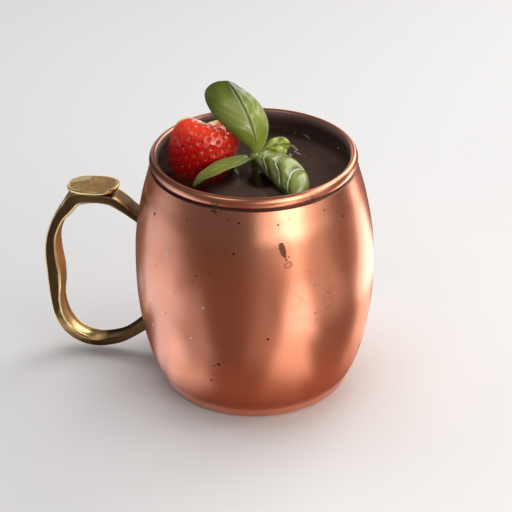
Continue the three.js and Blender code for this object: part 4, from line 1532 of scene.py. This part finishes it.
def make_leaf(name, leaf, finish):
    """Lays out a blade, lifts it between its veins, and gives it its thickness."""
    grid, u, v, up = blade_grid(leaf)
    rows, columns = u.shape
    run = np.gradient(grid, axis=0)
    cross = np.gradient(grid, axis=1)
    normal = unit(np.cross(run, cross))
    normal *= np.sign((normal * up[:, None, :]).sum(-1, keepdims=True))
    reach = vein_reach(grid, u, v, vein_lines(leaf))
    lifted = grid + normal * relief(leaf, u, v, reach)[..., None]
    lifted[..., 2] = np.minimum(lifted[..., 2], LEAF_TOP - LEAF_THICK / 2)
    points = to_part(lifted.reshape(-1, 3))
    cell = np.arange(rows * columns).reshape(rows, columns)
    a, b, c, d = cell[:-1, :-1], cell[:-1, 1:], cell[1:, 1:], cell[1:, :-1]
    faces = np.stack([a, b, c, d], -1).reshape(-1, 4)
    thing = mesh_object("basil_leaf_" + name, points, faces)
    store(thing, "blade", np.stack([u.ravel(), v.ravel(), reach.ravel()], 1))
    thick = thing.modifiers.new("thickness", "SOLIDIFY")
    thick.thickness = LEAF_THICK * MM
    thick.offset = 0
    made_plain(thing)
    return dress(thing, finish, "basil", "basil_sprig")


# %% [markdown]
# ### The basil's finish
# Fresh basil is glossy, painted deep green along the veins, a painted shade in the furrows, and light where
# the blade swells and on its side towards the light, a painted light and shade. The two greens are mixed by
# where a point lies on the blade and how far it is from the nearest vein.
# Each leaf has tones of its own, because in the photograph each one catches the light its own
# way. A fine net between the veins comes from a cell pattern.

# %% Basil finish
# The vein tones are painted too: dark lines are shade in the creases, and the hanging leaf's pale lines are
# partly its paler veins and partly a painted highlight.
LEAF_TONES = {
    "upright": {"deep": (0.042, 0.060, 0.006), "light": (0.260, 0.310, 0.044), "vein": (0.075, 0.105, 0.014)},
    "right": {"deep": (0.042, 0.060, 0.009), "light": (0.265, 0.310, 0.070), "vein": (0.66, 0.74, 0.38)},
    "left": {"deep": (0.060, 0.075, 0.012), "light": (0.215, 0.300, 0.050), "vein": (0.08, 0.13, 0.02)},
    "small": {"deep": (0.070, 0.085, 0.008), "light": (0.350, 0.405, 0.050), "vein": (0.08, 0.10, 0.012)},
}
# The midrib's dark line: painted shade in its crease.
RIB_CREASE_SHADE = rgb(0.020, 0.034, 0.006)
# For each leaf: where it turns light across and along the blade, a painted light and shade, and how much and
# how near the veins darken it, a painted shade in the furrows. Then how wide (mm) and how plain a vein's own
# line is, and how plain the midrib's dark line, a painted shade in its crease. The blade's right margin is
# paler, a painted rim highlight: where it starts, and how much.
LEAF_LOOKS = {
    "upright": {
        "across": (-1.15, -0.35), "along": (1.02, 0.6), "veins": (0.10, 1.6),
        "line": (0.05, 0.2, 0.22), "rib": 0.9, "rim_highlight": (0.66, 0.95, 0.0, 0.4),
    },
    "right": {
        "across": (0.95, -0.45), "along": (-2, -1), "veins": (0.86, 2.0),
        "line": (0.12, 0.36, 0.9), "rib": 0.0, "rim_highlight": (0.8, 1.0, 0.0, 0.3),
    },
    "left": {
        "across": (-3, -2), "along": (1.05, 0.25), "veins": (0.25, 1.2),
        "line": (0.05, 0.22, 0.4), "rib": 0.85, "rim_highlight": (0.85, 1.0, 0.0, 0.2),
    },
    "small": {
        "across": (-3, -2), "along": (1.15, 0.75), "veins": (0.72, 1.4),
        "line": (0.05, 0.25, 0.35), "rib": 0.85, "rim_highlight": (0.8, 1.0, 0.0, 0.3),
    },
}
# A pale right margin on each leaf: painted highlight.
RIM_HIGHLIGHT_TONE = rgb(0.52, 0.54, 0.36)


def basil_finish(name):
    """Glossy leaf: two greens by place and vein as painted light and shade, a dark midrib line of painted
    shade, a pale right margin of painted highlight and a fine net between.
    """
    tones = {key: rgb(*value) for key, value in LEAF_TONES[name].items()}
    look = LEAF_LOOKS[name]
    finish = new_finish("basil_" + name, {
        "Roughness": 0.32, "IOR": 1.45, "Specular IOR Level": 0.3, "Coat Weight": 0.9,
        "Coat Roughness": 0.15, "Coat IOR": 1.5,
        "Subsurface Weight": 0.14, "Subsurface Radius": (0.5, 1.0, 0.2), "Subsurface Scale": 0.0007,
    })
    blade = node(finish, "SeparateXYZ", {"Vector": kept(finish, "blade", "Vector")})
    across, along, reach = (blade.outputs[axis] for axis in "XYZ")
    where = object_place(finish)
    # Lighter across and along the blade on the side towards the light: painted light and shade.
    tone = count(finish, "MULTIPLY", fade(finish, across, *look["across"]),
                 fade(finish, along, *look["along"]))
    amount, wide = look["veins"]
    # Darker near the veins: painted shade in the furrows.
    tone = count(finish, "MULTIPLY", tone, fade(finish, reach, 0.1, wide, 1 - amount, 1.0))
    cloud = noise(finish, where, 9, 2.0, 0.5)
    tone = count(finish, "ADD", tone, fade(finish, cloud, 0.3, 0.7, -0.12, 0.12), clamp=True)
    colour = blend(finish, tone, tones["deep"], tones["light"])
    # Each vein's own line: on three leaves dark, painted shade in its crease; on the hanging leaf pale,
    # partly its paler vein and partly a painted highlight.
    inner, outer, plain = look["line"]
    off = count(finish, "ABSOLUTE", across)
    line = fade(finish, reach, inner, outer, plain, 0.0)
    line = count(finish, "MULTIPLY", line, fade(finish, off, 0.55, 1.0, 1.0, 0.35))
    colour = blend(finish, line, colour, tones["vein"])
    # A dark line along the midrib: painted shade in its crease.
    rib = count(finish, "MULTIPLY", fade(finish, off, 0.012, 0.05, look["rib"], 0.0),
                fade(finish, along, 0.1, 0.45, 0.4, 1.0))
    colour = blend(finish, rib, colour, RIB_CREASE_SHADE)
    # A pale right margin: painted rim highlight.
    rim_highlight = fade(finish, across, *look["rim_highlight"])
    colour = blend(finish, rim_highlight, colour, RIM_HIGHLIGHT_TONE)
    cells = node(finish, "TexVoronoi", {"Vector": where, "Scale": 900.0},
                 feature="DISTANCE_TO_EDGE")
    net = fade(finish, cells.outputs["Distance"], 0.0, 0.12, 1.0, 0.0)
    colour = blend(finish, count(finish, "MULTIPLY", net, 0.10), colour, tones["light"])
    shaped = bump(finish, net, 0.02, 0.6)
    shaped = bump(finish, noise(finish, where, 0.5, 2.0), 0.006, 0.7, shaped)
    plug(finish, shader_of(finish), {"Base Color": colour, "Normal": shaped})
    return finish


for name, leaf in LEAVES.items():
    make_leaf(name, leaf, basil_finish(name))

# %% [markdown]
# ### The stem and the stalks
# A stem goes down into the drink from a thick joint, and four short stalks lead from
# the joint into the leaves. Geometry Nodes sweep a ring along all five paths at once, as thick
# as each path says, and the remesh melts them together as growth would.

# %% Stalks by Geometry Nodes
STALK_GIRTH = (0.95, 0.4)
STEM_SWELL = 1.08
STEM_SIDES = 16
STEM_TONES = rgb(0.10, 0.16, 0.02), rgb(0.24, 0.31, 0.06)


def stalk_tree(finish):
    """Round rods along chains of points, as thick as their kept girth, with a knot at a joint."""
    tree, start, end = new_tree("stalks", [
        ("Sides", "Int", 16), ("Knot", "Float", 0.0019), ("Joint", "Vector", (0, 0, 0)),
    ])
    lines = tree_node(tree, "GeometryNodeMeshToCurve", {"Mesh": start.outputs["Geometry"]})
    ring = tree_node(tree, "GeometryNodeCurvePrimitiveCircle", {
        "Resolution": start.outputs["Sides"], "Radius": 1.0,
    })
    rods = tree_node(tree, "GeometryNodeCurveToMesh", {
        "Curve": lines.outputs[0], "Profile Curve": ring.outputs[0],
        "Scale": read_kept(tree, "girth", "FLOAT"), "Fill Caps": True,
    })
    ball = tree_node(tree, "GeometryNodeMeshIcoSphere", {
        "Radius": start.outputs["Knot"], "Subdivisions": 4,
    })
    knot = tree_node(tree, "GeometryNodeTransform", {
        "Geometry": ball.outputs[0], "Translation": start.outputs["Joint"],
    })
    both = tree_node(tree, "GeometryNodeJoinGeometry", {"Geometry": rods.outputs[0]})
    tree.links.new(knot.outputs[0], both.inputs[0])
    finish_tree(tree, end, both.outputs[0], finish)
    return tree


# %% The stem, the joint and the leaf stalks
def make_stem():
    """Chains of points for the stem and the stalks, grown into one body."""
    finish = new_finish("basil_stem", {
        "Roughness": 0.4, "Subsurface Weight": 0.2, "Subsurface Scale": 0.001, "Coat Weight": 0.3,
        "Coat Roughness": 0.2,
    })
    streaks = noise(finish, stretch(finish, object_place(finish), (1, 1, 0.15)), 1.5, 3.0)
    streaks = fade(finish, streaks, 0.3, 0.7)
    plug(finish, shader_of(finish), {"Base Color": blend(finish, streaks, *STEM_TONES)})
    paths = [smooth_run(STEM, 14)]
    girths = [np.linspace(1.0, STEM_SWELL, len(paths[0])) * STEM_RADIUS]
    for leaf in LEAVES.values():
        into, _ = midrib(leaf, np.array([0.02, 0.06, 0.12]))
        paths.append(smooth_run(np.vstack([JOINT, into]), 5))
        girths.append(np.linspace(*STALK_GIRTH, len(paths[-1])))
    chains = [mesh_object("stalk", to_part(path), [], chain=True) for path in paths]
    for chain, girth in zip(chains, girths):
        store(chain, "girth", girth * MM)
    stem = join(chains, "basil_stem")
    joint = tuple(to_part(JOINT) * MM)
    grow(stem, stalk_tree(finish), Sides=STEM_SIDES, Knot=NODE_RADIUS * MM, Joint=joint)
    remesh(stem, 0.2, 4)
    return dress(stem, finish, "basil", "basil_sprig")


make_stem()

# %% [markdown]
# ## The drink
# A dark, clear drink: what shows is a thin gleam on its surface, a bright line where it
# climbs the wall and the garnish, and the stem going down into brown. It is one closed
# body whose edge reaches just into the wall. The surface is lifted near whatever stands in
# it, and the body absorbs light as it gets deeper. A flat disc would show no waterline, and
# a fluid simulation would settle into much the same shape.

# %% The drink's finish
# Where the murk is thinnest, round the fruit and the stem: place and radius.
CLEAR_PLACES = [(-28.0, -9.0, 84.0, 13.0), (-18.0, 2.0, 84.0, 11.5), (3.0, -5.0, 84.0, 6.0)]
MURK_TONES = rgb(0.105, 0.063, 0.050), rgb(0.14, 0.088, 0.066)
DEPTH_TONE, DEPTH_DENSITY = rgb(0.52, 0.34, 0.24), 150.0
# How much the murk hides: in the open, and at the clearest places.
MURK_ALPHA = (0.5, 0.07)


def drink_finish():
    """A glossy surface over murk that clears in places, and depth that takes up light."""
    finish = new_finish("drink", {"Roughness": 0.06, "IOR": 1.34})
    depth = node(finish, "VolumeAbsorption", {"Color": DEPTH_TONE, "Density": DEPTH_DENSITY})
    output = finish.node_tree.nodes["Material Output"]
    finish.node_tree.links.new(depth.outputs[0], output.inputs["Volume"])
    where = object_place(finish)
    cloud = fade(finish, noise(finish, where, 14, 3.0), 0.3, 0.7)
    murk = blend(finish, cloud, *MURK_TONES)
    clear = most(finish, [
        near_place(finish, where, Vector(to_part(spot)), radius, 0.45)
        for *spot, radius in CLEAR_PLACES
    ])
    plug(finish, shader_of(finish), {
        "Base Color": murk, "Alpha": fade(finish, clear, 0.0, 1.0, *MURK_ALPHA),
        "Normal": bump(finish, noise(finish, where, 9, 2.0), 0.05),
    })
    return finish


# %% The drink
SURFACE_STEP = 0.45
DRINK_SIDES = 256
CLIMB = {"wall": 0.75, "wall_reach": 1.1, "garnish": 0.5, "garnish_reach": 0.9}
INTO_WALL = 0.3


def surface_lift(points, garnish):
    """How far the surface climbs at each point, near the wall and near the garnish."""
    edge = skin_radius(DRINK_LEVEL) - WALL
    from_wall = np.maximum(edge - np.hypot(points[:, 0], points[:, 1]), 0)
    lift = CLIMB["wall"] * np.exp(-from_wall / CLIMB["wall_reach"])
    for tree in garnish:
        far = np.array([tree.find_nearest(Vector(p) * MM)[3] or 1.0 for p in points]) / MM
        lift = np.maximum(lift, CLIMB["garnish"] * np.exp(-far / CLIMB["garnish_reach"]))
    return lift


def tree_of(thing):
    """A search tree over a piece's faces, to ask how near it is."""
    work = bmesh.new()
    work.from_mesh(thing.data)
    tree = BVHTree.FromBMesh(work)
    work.free()
    return tree


def make_drink(garnish):
    """Rings across the surface and down the wall, as one closed skin."""
    edge = float(skin_radius(DRINK_LEVEL)) - WALL + INTO_WALL
    rings = int(edge / SURFACE_STEP)
    sides = DRINK_SIDES
    radii = edge * np.linspace(0, 1, rings + 1)[1:]
    turn = np.arange(sides) * 2 * math.pi / sides
    x, y = np.cos(turn), np.sin(turn)
    flat = np.vstack([np.column_stack([r * x, r * y, np.full(sides, DRINK_LEVEL)]) for r in radii])
    flat[:, 2] += surface_lift(flat, garnish)
    top = list(flat.reshape(len(radii), sides, 3))
    lowest, highest = FLOOR_THICK + 2, DRINK_LEVEL - 0.5
    down = [(r - WALL + INTO_WALL, z) for r, z in BELLY_RUN[::-3] if lowest < z < highest]
    down.append((BELLY[0][0] - WALL - 1.5, FLOOR_THICK - INTO_WALL))
    side = [np.column_stack([r * x, r * y, np.full(sides, z)]) for r, z in down]
    drink = skin("drink_body", top + side)
    return dress(drink, drink_finish(), "drink", "drink")


garnish_trees = [tree_of(bpy.data.objects[name]) for name in (
    "strawberry_flesh", "basil_stem", "basil_leaf_right", "basil_leaf_left", "basil_leaf_upright",
)]
make_drink(garnish_trees)


# %% [markdown]
# ## Drops on the copper
# A few small drops cling to the cold copper, lower left of the middle. Each has its own
# place and size, so they are a short list, and a turned bead is set on the belly at each.
# Scattering them would put them where the photograph has none.

# %% Water drops
# Each drop has an angle, a height and a radius, and is a little longer than wide.
MUG_DROPS = [
    (-33.4, 68.0, 0.95), (-28.2, 53.4, 0.5), (-47.8, 41.9, 0.55), (-55.7, 39.5, 0.5), (-34.1, 43.1, 0.5),
    (-45.3, 33.7, 0.8), (-19.0, 36.7, 0.45), (-11.9, 51.1, 0.45), (-41.5, 60.5, 0.35), (-30.2, 35.2, 0.3),
]
DROP_SHAPE = {"thick": 0.55, "long": 1.25, "lift": 0.1}
# The drops' pale pink tones are a painted highlight on clear water.
DROP_HIGHLIGHT_TONES = rgb(0.95, 0.74, 0.66), rgb(0.98, 0.86, 0.80)


def make_drops():
    """Turned beads, each standing out of the belly at its place."""
    water = new_finish("water", {
        "Roughness": 0.12, "IOR": 1.36, "Alpha": 0.45, "Coat Weight": 1.0, "Coat Roughness": 0.03,
    })
    tone = noise(water, object_place(water), 2, 1.0)
    plug(water, shader_of(water), {"Base Color": blend(water, tone, *DROP_HIGHLIGHT_TONES)})
    beads = []
    for angle, height, radius in MUG_DROPS:
        spot = on_belly(angle, height)
        low, high = skin_radius(height - 1), skin_radius(height + 1)
        turn = math.radians(angle)
        out = Vector((math.sin(turn), -math.cos(turn), (low - high) / 2)).normalized()
        profile = [
            [radius * math.sin(a), DROP_SHAPE["thick"] * radius * math.cos(a)]
            for a in np.linspace(0, math.pi, 12)
        ]
        bead = lathe("drop", profile, 20)
        stand = out.to_track_quat("Z", "Y").to_matrix()
        p = places(bead)
        p[:, 1] *= DROP_SHAPE["long"]
        place(bead, p @ np.array(stand).T + np.array(spot + out * DROP_SHAPE["lift"] * radius))
        beads.append(bead)
    drops = join(beads, "water_drops")
    return dress(drops, water, "drink")


make_drops()

# %% [markdown]
# ## The bubbles
# Fine bubbles gather along the wall and in a few rows and rafts, where they show as short bright streaks;
# their whitish tone is a painted highlight. Geometry Nodes keep a share of the given places and put a ball of
# its own size on each, all from one fixed seed. So many small balls by hand would take a day.

# %% Bubbles by Geometry Nodes
BUBBLES = {"Share": 0.5, "Smallest": 0.00018, "Largest": 0.0005, "Seed": 3}


def bubble_tree(finish):
    """Puts half-sunk bubbles on a share of the given points, with a fixed seed."""
    tree, start, end = new_tree("bubbles", [
        ("Share", "Float", 0.3), ("Smallest", "Float", 0.0002),
        ("Largest", "Float", 0.0006), ("Seed", "Int", 3),
    ])
    ball = tree_node(tree, "GeometryNodeMeshIcoSphere", {"Radius": 1.0, "Subdivisions": 3})
    keep = tree_node(tree, "FunctionNodeRandomValue", {
        "Probability": start.outputs["Share"], "Seed": start.outputs["Seed"],
    }, data_type="BOOLEAN")
    size = tree_node(tree, "FunctionNodeRandomValue", {
        2: start.outputs["Smallest"], 3: start.outputs["Largest"], "Seed": start.outputs["Seed"],
    }, data_type="FLOAT")
    beads = tree_node(tree, "GeometryNodeInstanceOnPoints", {
        "Points": start.outputs["Geometry"], "Selection": keep.outputs[3],
        "Instance": ball.outputs[0], "Scale": size.outputs[1],
    })
    finish_tree(tree, end, beads.outputs[0], finish)
    return tree


# %% The bubbles
# Round the wall: how many, how far off it, and how high over the drink's level.
BUBBLE_RING = {"number": 90, "off_wall": (0.4, 1.6), "height": 0.35}
# Rafts on the open surface, in the photograph's frame: place, spread, number and how the
# spread is drawn out.
BUBBLE_RAFTS = [
    ((17.6, 16.5), 0.9, 26, ((1.5, -1.4), (0.1, 0.12))),
    ((12.8, 8.0), 0.9, 30, ((0.7, 1.2), (-0.3, 0.3))),
    ((-6.5, 3.0), 0.8, 20, ((0.5, -0.9), (0.3, 0.3))),
    ((-17.0, -24.0), 1.0, 16, ((1.2, -0.5), (0.1, 0.2))),
    ((20.2, 32.0), 1.0, 34, ((0.8, -1.5), (0.05, 0.05))),
    ((15.2, 23.0), 1.0, 30, ((0.7, -1.9), (0.15, 0.05))),
    ((13.6, 16.6), 1.0, 14, ((0.5, -1.1), (0.2, 0.2))),
]
RAFT_HEIGHT = 0.05
BUBBLE_DRAW = 11
# The bubbles' whitish tones: a painted highlight.
BUBBLE_GLINT_TONES = rgb(0.95, 0.9, 0.82), rgb(1, 1, 1)


def make_bubbles():
    """Draws places round the wall and in the rafts, and grows a bubble on half of them."""
    film = new_finish("bubble", {
        "Roughness": 0.05, "IOR": 1.2, "Transmission Weight": 0.75, "Coat Weight": 1.0,
    })
    tone = noise(film, object_place(film), 2, 1.0)
    plug(film, shader_of(film), {"Base Color": blend(film, tone, *BUBBLE_GLINT_TONES)})
    edge = float(skin_radius(DRINK_LEVEL)) - WALL
    draw = np.random.default_rng(BUBBLE_DRAW)
    number = BUBBLE_RING["number"]
    turn = np.sort(draw.uniform(0, 2 * math.pi, number))
    radius = edge - draw.uniform(*BUBBLE_RING["off_wall"], number)
    level = np.full(number, DRINK_LEVEL + BUBBLE_RING["height"])
    ring = np.stack([radius * np.cos(turn), radius * np.sin(turn), level], 1)
    rafts = np.vstack([
        np.array(spot) + draw.normal(0, spread, (amount, 2)) @ np.array(turned)
        for spot, spread, amount, turned in BUBBLE_RAFTS
    ])
    rafts = to_part(np.column_stack([rafts, np.full(len(rafts), DRINK_LEVEL + RAFT_HEIGHT)]))
    bubbles = mesh_object("bubbles", np.vstack([ring, rafts]), [])
    grow(bubbles, bubble_tree(film), **BUBBLES)
    return dress(bubbles, film, "drink")


make_bubbles()
